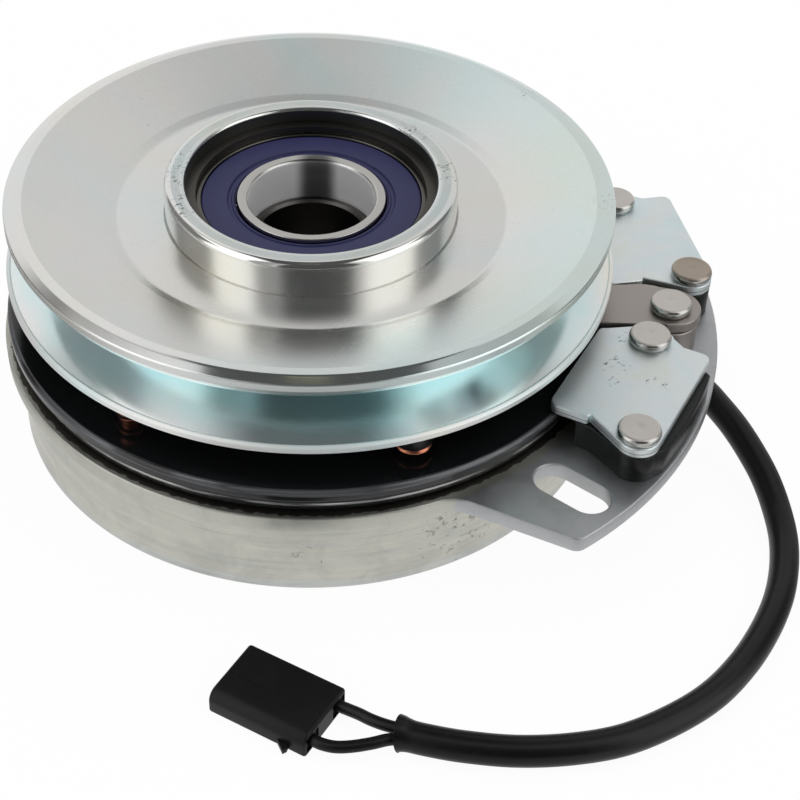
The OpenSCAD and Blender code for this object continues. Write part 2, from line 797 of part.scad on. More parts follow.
module drive_plate() {
    color([0.08, 0.08, 0.09])
        translate([0, 0, drive_plate_z]) linear_extrude(drive_plate_t) drive_plate_outline();
}

// Each spring runs from a rivet on the drive plate to the next rivet on the armature.
// Its strip is a little narrower than its round ends.
module leaf_spring_outline() {
    difference() {
        union() {
            for (end = [0, 60]) at_polar(spring_r, end) circle(r = spring_w / 2);
            rotate(30) translate([spring_r * cos(30), 0])
                square([spring_w - 1.4, spring_r], center = true);
        }
        for (end = [0, 60]) at_polar(spring_r, end) circle(r = spring_shank_r);
    }
}

module leaf_springs() {
    color([0.3, 0.3, 0.32])
        for (i = [0 : 2])
            rotate(spring_angle + 120 * i)
                translate([0, 0, spring_z]) linear_extrude(spring_t) leaf_spring_outline();
}

module drive_rivets() {
    color([0.72, 0.36, 0.24])
        for (i = [0 : 2])
            at_polar(spring_r, spring_angle + 120 * i)
                rivet(spring_shank_r, spring_rivet_r, 1.5, spring_z, drive_plate_top, spring_tail_h,
                      spring_rivet_r);
}

// ---------- armature ----------

module armature() {
    color([0.06, 0.06, 0.07])
        difference() {
            turned([
                [armature_in_r, armature_z], [armature_r - 0.5, armature_z],
                [armature_r, armature_z + 0.5], [armature_r, armature_top - 0.9],
                [armature_r - 0.3, armature_top - 0.3], [armature_r - 0.9, armature_top],
                [armature_in_r, armature_top]
            ]);
            for (i = [0 : 2])
                at_polar(spring_r, spring_angle + 60 + 120 * i) {
                    disc(spring_shank_r, armature_z - over, armature_top + over);
                    disc(spring_rivet_r, armature_z - over, armature_z + 1.2);
                }
            for (i = [0 : 2])
                at_polar(spring_r, spring_angle + 120 * i)
                    disc(spring_rivet_r + 0.9, armature_top - 0.5, armature_top + over);
        }
}

module armature_spacers() {
    color([0.6, 0.6, 0.58])
        for (i = [0 : 2])
            at_polar(spring_r, spring_angle + 60 + 120 * i) {
                ring(spring_shank_r, spring_rivet_r - 1, armature_top, spring_z - spring_tail_h);
                ring(spring_shank_r, spring_rivet_r, spring_z - spring_tail_h, spring_z);
            }
}

// The tail is set flush in a counterbore under the armature
module armature_rivets() {
    color([0.72, 0.36, 0.24])
        for (i = [0 : 2])
            at_polar(spring_r, spring_angle + 60 + 120 * i) {
                disc(spring_shank_r, armature_z + 0.2, drive_plate_z);
                disc(spring_rivet_r - 0.1, armature_z + 0.2, armature_z + 1.2);
                disc(spring_rivet_r - 0.2, drive_plate_z, drive_plate_z + 1.4);
            }
}

// ---------- brake ----------

module plate_outline() {
    polygon([
        [plate_in_u, plate_near_v + 1.6], [plate_in_u + 2, plate_near_v], [kink_u, plate_near_v],
        outer_rivet + rivet_end_r * [cos(232), sin(232)], outer_rivet,
        outer_rivet + [rivet_end_r, 0], [plate_out_u, plate_far_v - 2],
        [plate_out_u - 0.6, plate_far_v - 0.6], [plate_out_u - 2, plate_far_v],
        [plate_out_u - 7, plate_far_v], inner_rivet + rivet_land_r * [cos(35), sin(35)],
        inner_rivet, inner_rivet + rivet_land_r * [cos(108), sin(108)],
        [plate_in_u + 1, plate_far_v - 2.1], [plate_in_u, plate_far_v - 3.2]
    ]);
    translate(outer_rivet) circle(r = rivet_end_r);
    translate(inner_rivet) circle(r = rivet_land_r);
}

module brake_plate(angle) {
    color([0.8, 0.83, 0.83])
        difference() {
            rotate(angle) translate([0, 0, plate_z]) linear_extrude(plate_t) plate_outline();
            at_brake_rivets() disc(rivet_d / 2, plate_z - over, plate_top + over);
        }
}

module near_brake_plate() {
    brake_plate(near_plate_angle);
}

module far_brake_plate() {
    brake_plate(far_plate_angle);
}

module holder_outline() {
    intersection() {
        difference() {
            circle(r = holder_out_r);
            circle(r = holder_in_r);
        }
        polygon([
            [holder_in_r - 6, plate_near_v], [kink_u, plate_near_v],
            outer_rivet + holder_boss_r * [cos(232), sin(232)], outer_rivet,
            [plate_out_u - 4, plate_near_v + 1.6], [ear_r + 2, plate_near_v + 0.4],
            [ear_r + 2, plate_far_v - 3.4], [plate_out_u, plate_far_v - 3.4],
            [plate_out_u - 5, plate_far_v - 0.6], inner_rivet + [0, holder_boss_r],
            [holder_in_r - 6, plate_far_v - 0.6]
        ]);
    }
    translate(outer_rivet) circle(r = holder_boss_r);
    translate(inner_rivet) circle(r = holder_boss_r);
}

module at_magnet() {
    translate([(plate_in_u + plate_out_u) / 2 + 5, 0, shell_h]) children();
}

module magnet_holder(angle) {
    color([0.11, 0.11, 0.12])
        rotate(angle)
            difference() {
                translate([0, 0, shell_h]) linear_extrude(plate_z - shell_h) holder_outline();
                for (place = [inner_rivet, outer_rivet])
                    translate(place) disc(rivet_d / 2, shell_h - over, plate_z + over);
                at_magnet() translate([-magnet_size[0] / 2, -magnet_size[1] / 2, -over])
                    cube([magnet_size[0], magnet_size[1], magnet_size[2] + 2 * over]);
            }
}

module near_magnet_holder() {
    magnet_holder(near_plate_angle);
}

module far_magnet_holder() {
    magnet_holder(far_plate_angle);
}

module brake_magnets() {
    color([0.3, 0.3, 0.32])
        for (angle = [near_plate_angle, far_plate_angle])
            rotate(angle) at_magnet()
                translate([-magnet_size[0] / 2, -magnet_size[1] / 2, 0]) cube(magnet_size);
}

module brake_rivets() {
    color([0.68, 0.67, 0.65])
        at_brake_rivets()
            rivet(rivet_d / 2, rivet_head_d / 2, rivet_head_h, rim_z, plate_top,
                  rivet_tail_h, rivet_tail_r);
}

// Each point of the strap's end is a share of its reach past the rivet and of its width
module strap_outline() {
    end_shape = [
        [-1.14, -0.36], [-0.43, -0.26], [0.62, -0.2], [0.91, -0.07], [1, 0.14], [0.89, 0.33],
        [0.66, 0.45], [0.32, 0.51], [-0.13, 0.54], [-0.83, 0.56], [-1.88, 0.48]
    ];
    polygon(concat(
        [[plate_in_u, -0.44 * strap_w]],
        [for (p = end_shape) [strap_rivet_place[0] + p[0] * strap_end, p[1] * strap_w]],
        [[plate_in_u, 0.44 * strap_w]]
    ));
}

module centre_strap() {
    color([0.56, 0.52, 0.49])
        difference() {
            rotate(strap_angle) translate([0, 0, plate_z]) linear_extrude(plate_t) strap_outline();
            at_strap_rivet() disc(rivet_d / 2, plate_z - over, plate_top + over);
        }
}

module strap_spacer() {
    color([0.56, 0.52, 0.49])
        at_strap_rivet() ring(rivet_d / 2, spacer_r, shell_h, plate_z);
}

module strap_rivet() {
    color([0.68, 0.67, 0.65])
        at_strap_rivet()
            rivet(rivet_d / 2, rivet_head_d / 2, rivet_head_h, rim_z, plate_top,
                  rivet_tail_h, rivet_tail_r);
}

// ---------- lead and connector ----------

module lead_sleeve() {
    color([0.1, 0.1, 0.11]) swept_tube(sleeve_route, sleeve_d / 2, 12);
}

module lead_wire_a() {
    color([0.08, 0.08, 0.09]) swept_tube(wire_a_route, wire_d / 2, 8);
}

module lead_wire_b() {
    color([0.08, 0.08, 0.09]) swept_tube(wire_b_route, wire_d / 2, 8);
}

module at_plug() {
    translate([plug_centre[0], plug_centre[1], 0]) rotate(plug_turn) children();
}

// The housing lies on its flat side; its mouth faces away from the wires
module connector_housing() {
    cell_h = plug_t - 2 * plug_wall;
    cell_len = plug_len - 5;
    color([0.07, 0.07, 0.08])
        at_plug()
            difference() {
                union() {
                    translate([-plug_len / 2, -plug_w / 2, 0]) cube([plug_len, plug_w, plug_t]);
                    translate([plug_len * 0.24, -plug_w / 2 - 1.6, 1]) cube([3, 1.8, 2.6]);
                }
                for (side = [-1, 1]) {
                    translate([-plug_len / 2 - over, side * cell_v - cell_w / 2, plug_wall])
                        cube([cell_len + over, cell_w, cell_h]);
                    translate([0, side * wire_pitch / 2, plug_t / 2]) rotate([0, 90, 0])
                        cylinder(h = plug_len, r = wire_d / 2 + 0.1);
                }
                translate([-plug_len / 2 + 2, -0.5, plug_t - 0.7]) cube([plug_len - 4, 1, 2]);
            }
}

module connector_terminals() {
    blade_w = 5;
    blade_t = 0.8;
    blade_len = 13;
    back = plug_len / 2;
    mouth = back - 5;
    color([0.75, 0.6, 0.3])
        at_plug()
            for (side = [-1, 1]) {
                translate([mouth - blade_len, side * cell_v - blade_w / 2,
                           plug_t / 2 - blade_t / 2])
                    cube([blade_len, blade_w, blade_t]);
                translate([mouth - 1, side * wire_pitch / 2, plug_t / 2]) rotate([0, 90, 0])
                    cylinder(h = back - mouth + 1, r = wire_d / 2);
            }
}

field_shell();
field_floor();
field_flange();
inner_pole();
coil_bobbin();
coil_winding();
coil_potting();
cable_grommet();
field_bearing_outer_race();
field_bearing_seals();
field_bearing_circlip();
field_bearing_inner_race();
hub_snap_ring();
field_bearing_cage();
field_bearing_balls();
rotor_disc();
rotor_hub();
friction_ring();
pulley_bearing_inner_race();
pulley_bearing_cage();
pulley_bearing_balls();
pulley_bearing_outer_race();
upper_bearing_seal();
lower_bearing_seal();
hub_circlip();
pulley_hub();
upper_flange();
lower_flange();
drive_plate();
leaf_springs();
drive_rivets();
armature();
armature_spacers();
armature_rivets();
near_brake_plate();
far_brake_plate();
near_magnet_holder();
far_magnet_holder();
brake_magnets();
brake_rivets();
centre_strap();
strap_spacer();
strap_rivet();
lead_sleeve();
lead_wire_a();
lead_wire_b();
connector_housing();
connector_terminals();
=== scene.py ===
"""Looks of an electromagnetic clutch with a belt pulley and a permanent magnet brake.

Sizes in the classes are millimetres, in the solids' frame: the shaft's axis is Z and the
shell's flat bottom lies at zero. Meshes are made in metres.
"""

import json
import logging
import math
from collections.abc import Callable, Iterable, Sequence
from dataclasses import dataclass
from enum import Enum

import bmesh
import bpy
from mathutils import Matrix, Vector
from mathutils.geometry import tessellate_polygon


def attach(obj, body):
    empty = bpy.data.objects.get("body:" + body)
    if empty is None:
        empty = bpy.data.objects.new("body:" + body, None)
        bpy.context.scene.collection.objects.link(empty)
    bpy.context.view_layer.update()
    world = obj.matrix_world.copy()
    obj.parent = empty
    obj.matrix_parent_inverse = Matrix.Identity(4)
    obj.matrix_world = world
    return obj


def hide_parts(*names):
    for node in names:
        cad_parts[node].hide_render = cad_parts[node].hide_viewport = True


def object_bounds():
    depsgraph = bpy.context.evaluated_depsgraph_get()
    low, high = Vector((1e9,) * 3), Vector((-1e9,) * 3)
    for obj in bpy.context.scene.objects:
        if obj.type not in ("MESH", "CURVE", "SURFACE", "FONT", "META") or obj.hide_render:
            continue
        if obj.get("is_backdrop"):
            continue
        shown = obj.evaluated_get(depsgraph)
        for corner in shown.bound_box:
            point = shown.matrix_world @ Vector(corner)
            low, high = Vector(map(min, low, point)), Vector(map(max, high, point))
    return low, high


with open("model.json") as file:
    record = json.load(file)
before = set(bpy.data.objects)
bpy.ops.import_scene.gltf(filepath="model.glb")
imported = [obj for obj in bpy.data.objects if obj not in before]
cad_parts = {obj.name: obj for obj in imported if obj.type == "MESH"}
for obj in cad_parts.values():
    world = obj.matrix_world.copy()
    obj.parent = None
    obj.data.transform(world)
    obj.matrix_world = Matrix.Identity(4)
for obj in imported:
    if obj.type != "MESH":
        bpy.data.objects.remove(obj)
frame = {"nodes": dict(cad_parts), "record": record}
CAD_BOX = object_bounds()

MM = 0.001
SEGMENTS = 224  # steps round a turned piece
TUBE_SIDES = 24  # steps round a wire
CORNER_STEPS = 5  # steps in a corner of a turned profile
FLAT_GUARD = 0.06  # distance from such a corner of the point that keeps the flat even
CORNER_ROOM = 0.46  # share of an edge that one rounded corner may take
MITRE_FLOOR = 0.4  # bounds how far an inset goes at a sharp corner
SHARP_ANGLE = math.radians(34)

Vec2 = tuple[float, float]
Vec3 = tuple[float, float, float]
Corner = tuple[float, float, float]

AXIS: Vec2 = (0.0, 0.0)

log = logging.getLogger("clutch")


# ---------------------------------------------------------------- node graphs


def math_operator(operation: str, swapped: bool = False) -> Callable[..., "Term"]:
    """Makes the method behind one of Python's operators on a Term.

    Args:
        operation: The Math node's operation.
        swapped: Whether the Term stands on the operator's right.

    Returns:
        The method.
    """

    def apply(term: "Term", other: "Term | float") -> "Term":
        """Adds the Math node for the two numbers."""
        return term.graph.maths(operation, *((other, term) if swapped else (term, other)))

    return apply


class Term:
    """One number in a node graph, on which Python's operators add Math nodes."""

    def __init__(self, graph: "Graph", socket: bpy.types.NodeSocket) -> None:
        """Wraps the socket of a graph's node."""
        self.graph = graph
        self.socket = socket

    __add__, __radd__ = math_operator("ADD"), math_operator("ADD", True)
    __sub__, __rsub__ = math_operator("SUBTRACT"), math_operator("SUBTRACT", True)
    __mul__ = math_operator("MULTIPLY")
    __pow__ = math_operator("POWER")

    def __abs__(self) -> "Term":
        """Takes the size without the sign."""
        return self.graph.maths("ABSOLUTE", self)

    def span(self, low: float, high: float, start: float = 0.0, end: float = 1.0) -> "Term":
        """Carries the range from low to high smoothly onto the range from start to end.

        Args:
            low: Value at which the change begins.
            high: Value at which it is over.
            start: Result at low and below it.
            end: Result at high and above it.

        Returns:
            The new number.
        """
        made = self.graph.node(
            "ShaderNodeMapRange",
            {0: self, 1: low, 2: high, 3: start, 4: end},
            interpolation_type="SMOOTHSTEP",
        )
        return Term(self.graph, made.outputs[0])

    def band(self, low: float, high: float, soft: float) -> "Term":
        """Is 1 between low and high, and fades to 0 over the width soft outside them."""
        return self.span(low - soft, low) * self.span(high, high + soft, 1.0, 0.0)


class Graph:
    """A node tree to which nodes are added one at a time."""

    def __init__(self, tree: bpy.types.NodeTree) -> None:
        """Empties the tree and keeps it."""
        self.tree = tree
        tree.nodes.clear()

    def node(
        self, kind: str, inputs: dict[str | int, object] | None = None, **settings: object
    ) -> bpy.types.Node:
        """Adds a node of any type.

        Args:
            kind: The node's type.
            inputs: What its sockets hold, by name or number: a Term, a socket or a value.
            **settings: The node's settings, which are set first; stops are a ramp's stops.

        Returns:
            The new node.
        """
        made = self.tree.nodes.new(kind)
        for key, value in settings.items():
            if key == "stops":
                self._set_stops(made.color_ramp, value)
            else:
                setattr(made, key, value)
        for key, value in (inputs or {}).items():
            self.feed(made.inputs[key], value)
        return made

    @staticmethod
    def _set_stops(ramp: bpy.types.ColorRamp, stops: Sequence[tuple[float, Vec3]]) -> None:
        """Gives a ramp its stops, each a place and a colour."""
        while len(ramp.elements) < len(stops):
            ramp.elements.new(1.0)
        for element, (place, colour) in zip(ramp.elements, stops):
            element.position = place
            element.color = (*colour, 1.0)

    def feed(self, socket: bpy.types.NodeSocket, value: object) -> None:
        """Links a Term or socket to an input, or sets its value."""
        if isinstance(value, Term):
            value = value.socket
        if isinstance(value, bpy.types.NodeSocket):
            self.tree.links.new(value, socket)
        elif isinstance(value, tuple) and len(value) == 3 and socket.type == "RGBA":
            socket.default_value = (*value, 1.0)
        else:
            socket.default_value = value

    def maths(self, operation: str, *values: Term | float) -> Term:
        """Adds a Math node on one, two or three numbers."""
        made = self.node("ShaderNodeMath", dict(enumerate(values)), operation=operation)
        return Term(self, made.outputs[0])

    def mix(
        self, share: Term | float, first: object, second: object, blend: str = "MIX"
    ) -> bpy.types.NodeSocket:
        """Mixes two colours.

        Args:
            share: How much of the second colour there is.
            first: A colour or a colour socket.
            second: A colour or a colour socket.
            blend: How they mix; MULTIPLY lays the second as a thin wash over the first.

        Returns:
            The mixed colour's socket.
        """
        made = self.node(
            "ShaderNodeMix",
            {0: share, 6: first, 7: second},
            data_type="RGBA",
            blend_type=blend,
            clamp_factor=True,
        )
        return made.outputs[2]

    def tint(self, colour: object, gain: Term) -> bpy.types.NodeSocket:
        """Scales a colour by a number."""
        made = self.node("ShaderNodeVectorMath", {0: colour, 3: gain}, operation="SCALE")
        return made.outputs[0]

    def place(self) -> bpy.types.NodeSocket:
        """Gives the place on the piece, in metres from the shaft's foot."""
        return self.node("ShaderNodeTexCoord").outputs["Object"]

    def polar(self, place: bpy.types.NodeSocket) -> tuple[Term, Term]:
        """Gives a place's distance from the shaft's axis and its height, in millimetres."""
        x, y, z = self.parts(place)
        return (x * x + y * y) ** 0.5 * (1.0 / MM), z * (1.0 / MM)

    def most(self, *values: Term | float) -> Term | float:
        """Gives the largest of some numbers."""
        top = values[0]
        for value in values[1:]:
            top = self.maths("MAXIMUM", top, value)
        return top

    def parts(self, vector: bpy.types.NodeSocket) -> tuple[Term, Term, Term]:
        """Takes a vector apart."""
        split = self.node("ShaderNodeSeparateXYZ", {0: vector})
        x, y, z = (Term(self, out) for out in split.outputs)
        return x, y, z

    def joined(self, x: Term | float, y: Term | float, z: Term | float) -> bpy.types.NodeSocket:
        """Joins three numbers to a vector."""
        return self.node("ShaderNodeCombineXYZ", {0: x, 1: y, 2: z}).outputs[0]

    def around(
        self, place: bpy.types.NodeSocket, radius: float, along: Term
    ) -> bpy.types.NodeSocket:
        """Gives coordinates that run round the shaft on a circle, with a third one along it."""
        x, y, _ = self.parts(place)
        turn = self.maths("ARCTAN2", y, x)
        cos, sin = self.maths("COSINE", turn), self.maths("SINE", turn)
        return self.joined(cos * radius, sin * radius, along)

    def rays(self, *kinds: str) -> Term | float:
        """Is 1 for light paths of the named kinds, such as Camera and Glossy."""
        path = self.node("ShaderNodeLightPath").outputs
        return self.most(*(Term(self, path[f"Is {kind} Ray"]) for kind in kinds))

    def end_mixed(
        self, share: Term | float, first: bpy.types.Node, second: bpy.types.Node
    ) -> None:
        """Ends a material with a mix of two shaders, of which share is the second's part."""
        inputs = {0: share, 1: first.outputs[0], 2: second.outputs[0]}
        mixed = self.node("ShaderNodeMixShader", inputs)
        self.node("ShaderNodeOutputMaterial", {0: mixed.outputs[0]})

    def noise(
        self,
        where: bpy.types.NodeSocket,
        scale: float,
        detail: float = 3.0,
        rough: float = 0.55,
        warp: float = 0.0,
    ) -> Term:
        """Adds a smooth random pattern about 0.5.

        Args:
            where: The coordinates that it reads.
            scale: Features in one unit of the coordinates.
            detail: Octaves of finer pattern.
            rough: Strength of each finer octave.
            warp: How much the pattern is bent by itself.

        Returns:
            The pattern.
        """
        inputs = {
            "Vector": where, "Scale": scale, "Detail": detail, "Roughness": rough,
            "Distortion": warp,
        }
        return Term(self, self.node("ShaderNodeTexNoise", inputs).outputs[0])

    def specks(self, where: bpy.types.NodeSocket, scale: float, size: float) -> Term:
        """Adds small round marks, 1 inside a mark.

        Args:
            where: The coordinates that it reads.
            scale: Marks in one unit of the coordinates.
            size: Radius of a mark, as a share of the distance between marks.

        Returns:
            The pattern.
        """
        cells = self.node("ShaderNodeTexVoronoi", {"Vector": where, "Scale": scale})
        near = Term(self, cells.outputs["Distance"])
        red, _, _ = self.parts(cells.outputs["Color"])
        return near.span(size * 0.6, size, 1.0, 0.0) * red.span(0.55, 0.6)


def new_material(name: str) -> tuple[bpy.types.Material, Graph]:
    """Starts a material, and gives it with its empty graph."""
    made = bpy.data.materials.new(name)
    made.use_nodes = True
    return made, Graph(made.node_tree)


# ---------------------------------------------------------------- finishes


TURNED_PITCH = 2600.0
ROLLED_PITCH = 2200.0
MATT_PITCH = 900.0
GRIT_PITCH = 1500.0
GRAIN_BUMP = 0.35
GRAIN_DEPTH = 0.02 * MM


class Grain(Enum):
    """Which way the fine lines of a metal run; the pitches above are lines in a metre."""

    TURNED = "turned"
    ROLLED = "rolled"
    NONE = "none"


@dataclass(frozen=True)
class Zone:
    """A ring-shaped stretch of a turned piece, in millimetres.

    Attributes:
        inner: Its smallest distance from the axis.
        outer: Its largest distance from the axis.
        low: Its lowest height.
        high: Its greatest height.
        soft: Width over which it fades.
    """

    inner: float
    outer: float
    low: float
    high: float
    soft: float = 0.25

    def mask(self, graph: Graph, place: bpy.types.NodeSocket) -> Term:
        """Is 1 inside the stretch."""
        radius, height = graph.polar(place)
        across = radius.band(self.inner, self.outer, self.soft)
        return across * height.band(self.low, self.high, self.soft)


@dataclass(frozen=True)
class Spot:
    """A place where small marks crowd, in millimetres.

    Attributes:
        x: Its middle, towards +X.
        y: Its middle, towards +Y.
        z: Its height.
        reach: Its radius.
    """

    x: float
    y: float
    z: float
    reach: float

    def mask(self, graph: Graph, place: bpy.types.NodeSocket) -> Term:
        """Is 1 in the middle and 0 past the reach."""
        middle = (self.x * MM, self.y * MM, self.z * MM)
        apart = graph.node("ShaderNodeVectorMath", {0: place, 1: middle}, operation="DISTANCE")
        far = Term(graph, apart.outputs["Value"])
        return far.span(self.reach * 0.35 * MM, self.reach * MM, 1.0, 0.0)


@dataclass(frozen=True)
class Band:
    """A stretch of a piece whose finish differs.

    Attributes:
        zone: Where it is.
        rough: Its roughness.
        tone: Its colour, or None where the colour stays.
        share: How much of the difference there is.
        metallic: How metallic it is.
    """

    zone: Zone | Spot
    rough: float
    tone: Vec3 | None = None
    share: float = 1.0
    metallic: float = 1.0


@dataclass(frozen=True)
class Finish:
    """A surface finish.

    Attributes:
        name: The record's material slot, and after a dot the stretch that it is for.
        tone: The main colour.
        rough: The main roughness.
    """

    name: str
    tone: Vec3
    rough: float

    @property
    def slot(self) -> str:
        """Gives the record's material slot."""
        return self.name.split(".")[0]

    def shader(self, graph: Graph) -> dict[str, object]:
        """Gives what the shader's sockets hold."""
        return {"Base Color": self.tone, "Roughness": self.rough}

    def material(self) -> bpy.types.Material:
        """Builds the material, or gives the one already built."""
        made = bpy.data.materials.get("finish_" + self.name)
        if made is None:
            made, graph = new_material("finish_" + self.name)
            surface = graph.node("ShaderNodeBsdfPrincipled", self.shader(graph))
            graph.node("ShaderNodeOutputMaterial", {0: surface.outputs[0]})
        return made


def bump(graph: Graph, height: Term, strength: float, depth: float) -> bpy.types.NodeSocket:
    """Turns a height pattern into a normal.

    Args:
        graph: The graph that holds the pattern.
        height: The pattern.
        strength: How much of the effect there is.
        depth: Height in metres where the pattern is 1.

    Returns:
        The normal's socket.
    """
    inputs = {"Strength": strength, "Distance": depth, "Height": height}
    return graph.node("ShaderNodeBump", inputs).outputs[0]


@dataclass(frozen=True)
class Metal(Finish):
    """Bare or plated metal.

    Attributes:
        grain: Which way its fine lines run.
        lines: How strong the lines are.
        frost: How strong the fine grain is.
        cloud: Size of the slow changes, in millimetres.
        mottle: How much the colour follows them.
        spread: How much the roughness follows them.
        stain: Colour of the patches.
        stained: How much the patches show.
        chips: How much small dark marks show.
        chip_size: Their size, in millimetres.
        spots: Where the marks crowd.
        bands: Stretches that differ.
    """

    grain: Grain = Grain.NONE
    lines: float = 0.2
    frost: float = 0.1
    cloud: float = 24.0
    mottle: float = 0.08
    spread: float = 0.05
    stain: Vec3 = (0.3, 0.3, 0.3)
    stained: float = 0.0
    chips: float = 0.0
    chip_size: float = 1.1
    spots: tuple[Spot, ...] = ()
    bands: tuple[Band, ...] = ()

    def grain_place(self, graph: Graph, place: bpy.types.NodeSocket) -> bpy.types.NodeSocket:
        """Stretches the coordinates along the grain."""
        x, y, z = graph.parts(place)
        if self.grain is Grain.TURNED:
            return graph.around(place, 1.6, ((x * x + y * y) ** 0.5 + z) * TURNED_PITCH)
        if self.grain is Grain.ROLLED:
            return graph.joined(x * 60.0, y * ROLLED_PITCH, z * ROLLED_PITCH)
        return graph.joined(x * MATT_PITCH, y * MATT_PITCH, z * MATT_PITCH)

    def chip_mask(self, graph: Graph, place: bpy.types.NodeSocket) -> Term:
        """Draws small ragged marks, crowded in the spots and few elsewhere."""
        crowd = graph.noise(place, 48.0, 2.0).span(0.56, 0.74, 0.0, 0.55)
        for spot in self.spots:
            crowd = graph.most(crowd, spot.mask(graph, place))
        x, y, z = graph.parts(place)
        slanted = graph.joined((x + y) * 0.55, (y - x) * 1.0, z)
        ragged = graph.noise(slanted, 1.0 / (self.chip_size * MM), 5.0, 0.72, 0.35)
        return (ragged + crowd * 0.15).span(0.715, 0.755)

    def shader(self, graph: Graph) -> dict[str, object]:
        """Gives what the shader's sockets hold."""
        place = graph.place()
        lines = graph.noise(self.grain_place(graph, place), 1.0, 3.0, 0.6)
        cloud = graph.noise(place, 1.0 / (self.cloud * MM), 4.0, 0.55, 0.4)
        grit = graph.noise(place, GRIT_PITCH, 2.0, 0.6)
        gain = 1.0 + (cloud - 0.5) * self.mottle * 2.0 + (lines - 0.5) * self.lines * 0.35
        colour: object = graph.tint(self.tone, gain)
        rough: object = self.rough + (cloud - 0.5) * self.spread * 2.0
        height = lines * self.lines + grit * self.frost
        if self.stained:
            patch = graph.noise(place, 28.0, 5.0, 0.6, 0.8).span(0.5, 0.68) * self.stained
            colour = graph.mix(patch, colour, self.stain)
        metallic: Term | float = 1.0
        for band in self.bands:
            inside = band.zone.mask(graph, place) * band.share
            rough = rough + inside * (band.rough - rough)
            if band.rough < self.rough:
                height = height * (1.0 - inside * 0.96)
            if band.tone:
                colour = graph.mix(inside, colour, band.tone)
            if band.metallic < 1.0:
                metallic = metallic - inside * (1.0 - band.metallic)
        if self.chips:
            dark = self.chip_mask(graph, place) * self.chips
            colour = graph.mix(dark, colour, tuple(0.16 * c for c in self.tone))
            rough = rough + dark * 0.3
            height = height - dark * 2.0
        return {
            "Base Color": colour,
            "Roughness": rough,
            "Metallic": metallic,
            "Normal": bump(graph, height, GRAIN_BUMP, GRAIN_DEPTH),
        }


@dataclass(frozen=True)
class Zinc(Metal):
    """Bright zinc plate, whose thin film drifts slowly from lilac and straw to pale cyan.

    Attributes:
        film: How strong the film's patches are.
        film_size: Their size, in millimetres.
        cool_tint_and_reflection: Colour of a cyan wash towards +X and in the ring, partly the
            plate's tint and partly painted reflection.
        cool_side: Distances towards +X between which the wash begins, in metres.
        cool_ring: Distances from the axis between which the wash begins.
        cooled: How far the wash reaches round to -X.
        HUES: The thin film's colours, each with its place on the drift.
    """

    film: float = 0.5
    film_size: float = 45.0
    cool_tint_and_reflection: Vec3 = (0.90, 1.0, 1.01)
    cool_side: Vec2 = (-0.03, 0.055)
    cool_ring: Vec2 = (45.0, 56.0)
    cooled: float = 0.0

    HUES = (
        (0.30, (1.0, 0.93, 0.76)), (0.43, (1.0, 0.975, 0.92)), (0.50, (1.0, 0.97, 0.99)),
        (0.58, (0.88, 0.98, 1.0)), (0.70, (0.74, 0.97, 1.0)),
    )

    def shader(self, graph: Graph) -> dict[str, object]:
        """Gives what the shader's sockets hold."""
        inputs = super().shader(graph)
        place = graph.place()
        x, _, _ = graph.parts(place)
        radius, _ = graph.polar(place)
        drift = graph.noise(place, 1.0 / (self.film_size * MM), 3.0, 0.5, 0.8)
        hue = graph.node("ShaderNodeValToRGB", {0: drift}, stops=self.HUES).outputs[0]
        colour = graph.mix(self.film, inputs["Base Color"], hue, "MULTIPLY")
        # Cyan wash: partly plating tint, partly painted reflection.
        share = graph.most(x.span(*self.cool_side), self.cooled) * radius.span(*self.cool_ring)
        share = share + (drift - 0.5) * 0.4
        inputs["Base Color"] = graph.mix(share, colour, self.cool_tint_and_reflection, "MULTIPLY")
        return inputs


@dataclass(frozen=True)
class ShellSteel(Metal):
    """Drawn raw steel, with long streaks round it and pale and bluish patches, and a ring of
    painted shade.

    Attributes:
        pale: Colour of the pale patches.
        bluish: Colour of the cooler patches.
        streaks: How strong the streaks are.
        painted_shade: Ring of the face painted dark as the shade of the rotor and the armature
            above it.
        painted_shade_tone: Colour of that painted shade.
    """

    pale: Vec3 = (0.63, 0.625, 0.56)
    bluish: Vec3 = (0.47, 0.49, 0.465)
    streaks: float = 0.6
    painted_shade: Zone | None = None
    painted_shade_tone: Vec3 = (0.09, 0.08, 0.065)

    def shader(self, graph: Graph) -> dict[str, object]:
        """Gives what the shader's sockets hold."""
        inputs = super().shader(graph)
        place = graph.place()
        x, y, z = graph.parts(place)
        wide = graph.noise(graph.around(place, 2.2, z * 330.0), 1.0, 3.0, 0.6)
        thin = graph.noise(graph.around(place, 2.6, z * 1500.0), 1.0, 3.0, 0.7)
        blots = graph.noise(place, 110.0, 5.0, 0.65, 0.6)
        colour = graph.mix(
            wide.span(0.5, 0.68) * self.streaks, inputs["Base Color"], self.pale
        )
        colour = graph.mix(wide.span(0.5, 0.32) * self.streaks, colour, self.bluish)
        dim = thin.span(0.28, 0.5, 1.0 - 0.22 * self.streaks, 1.0)
        colour = graph.tint(colour, dim * blots.span(0.3, 0.6, 0.9, 1.05))
        inputs["Roughness"] = inputs["Roughness"] + (blots - 0.5) * 0.22
        # Painted shade: the ring under the rotor and the armature is darkened, with a ragged
        # edge.
        if self.painted_shade:
            shaken = graph.noise(place, 420.0, 4.0, 0.65) - 0.5
            moved = graph.joined(x * (1.0 + shaken * 0.03), y * (1.0 + shaken * 0.03), z)
            colour = graph.mix(self.painted_shade.mask(graph, moved) * 0.93, colour, self.painted_shade_tone)
        inputs["Base Color"] = colour
        return inputs


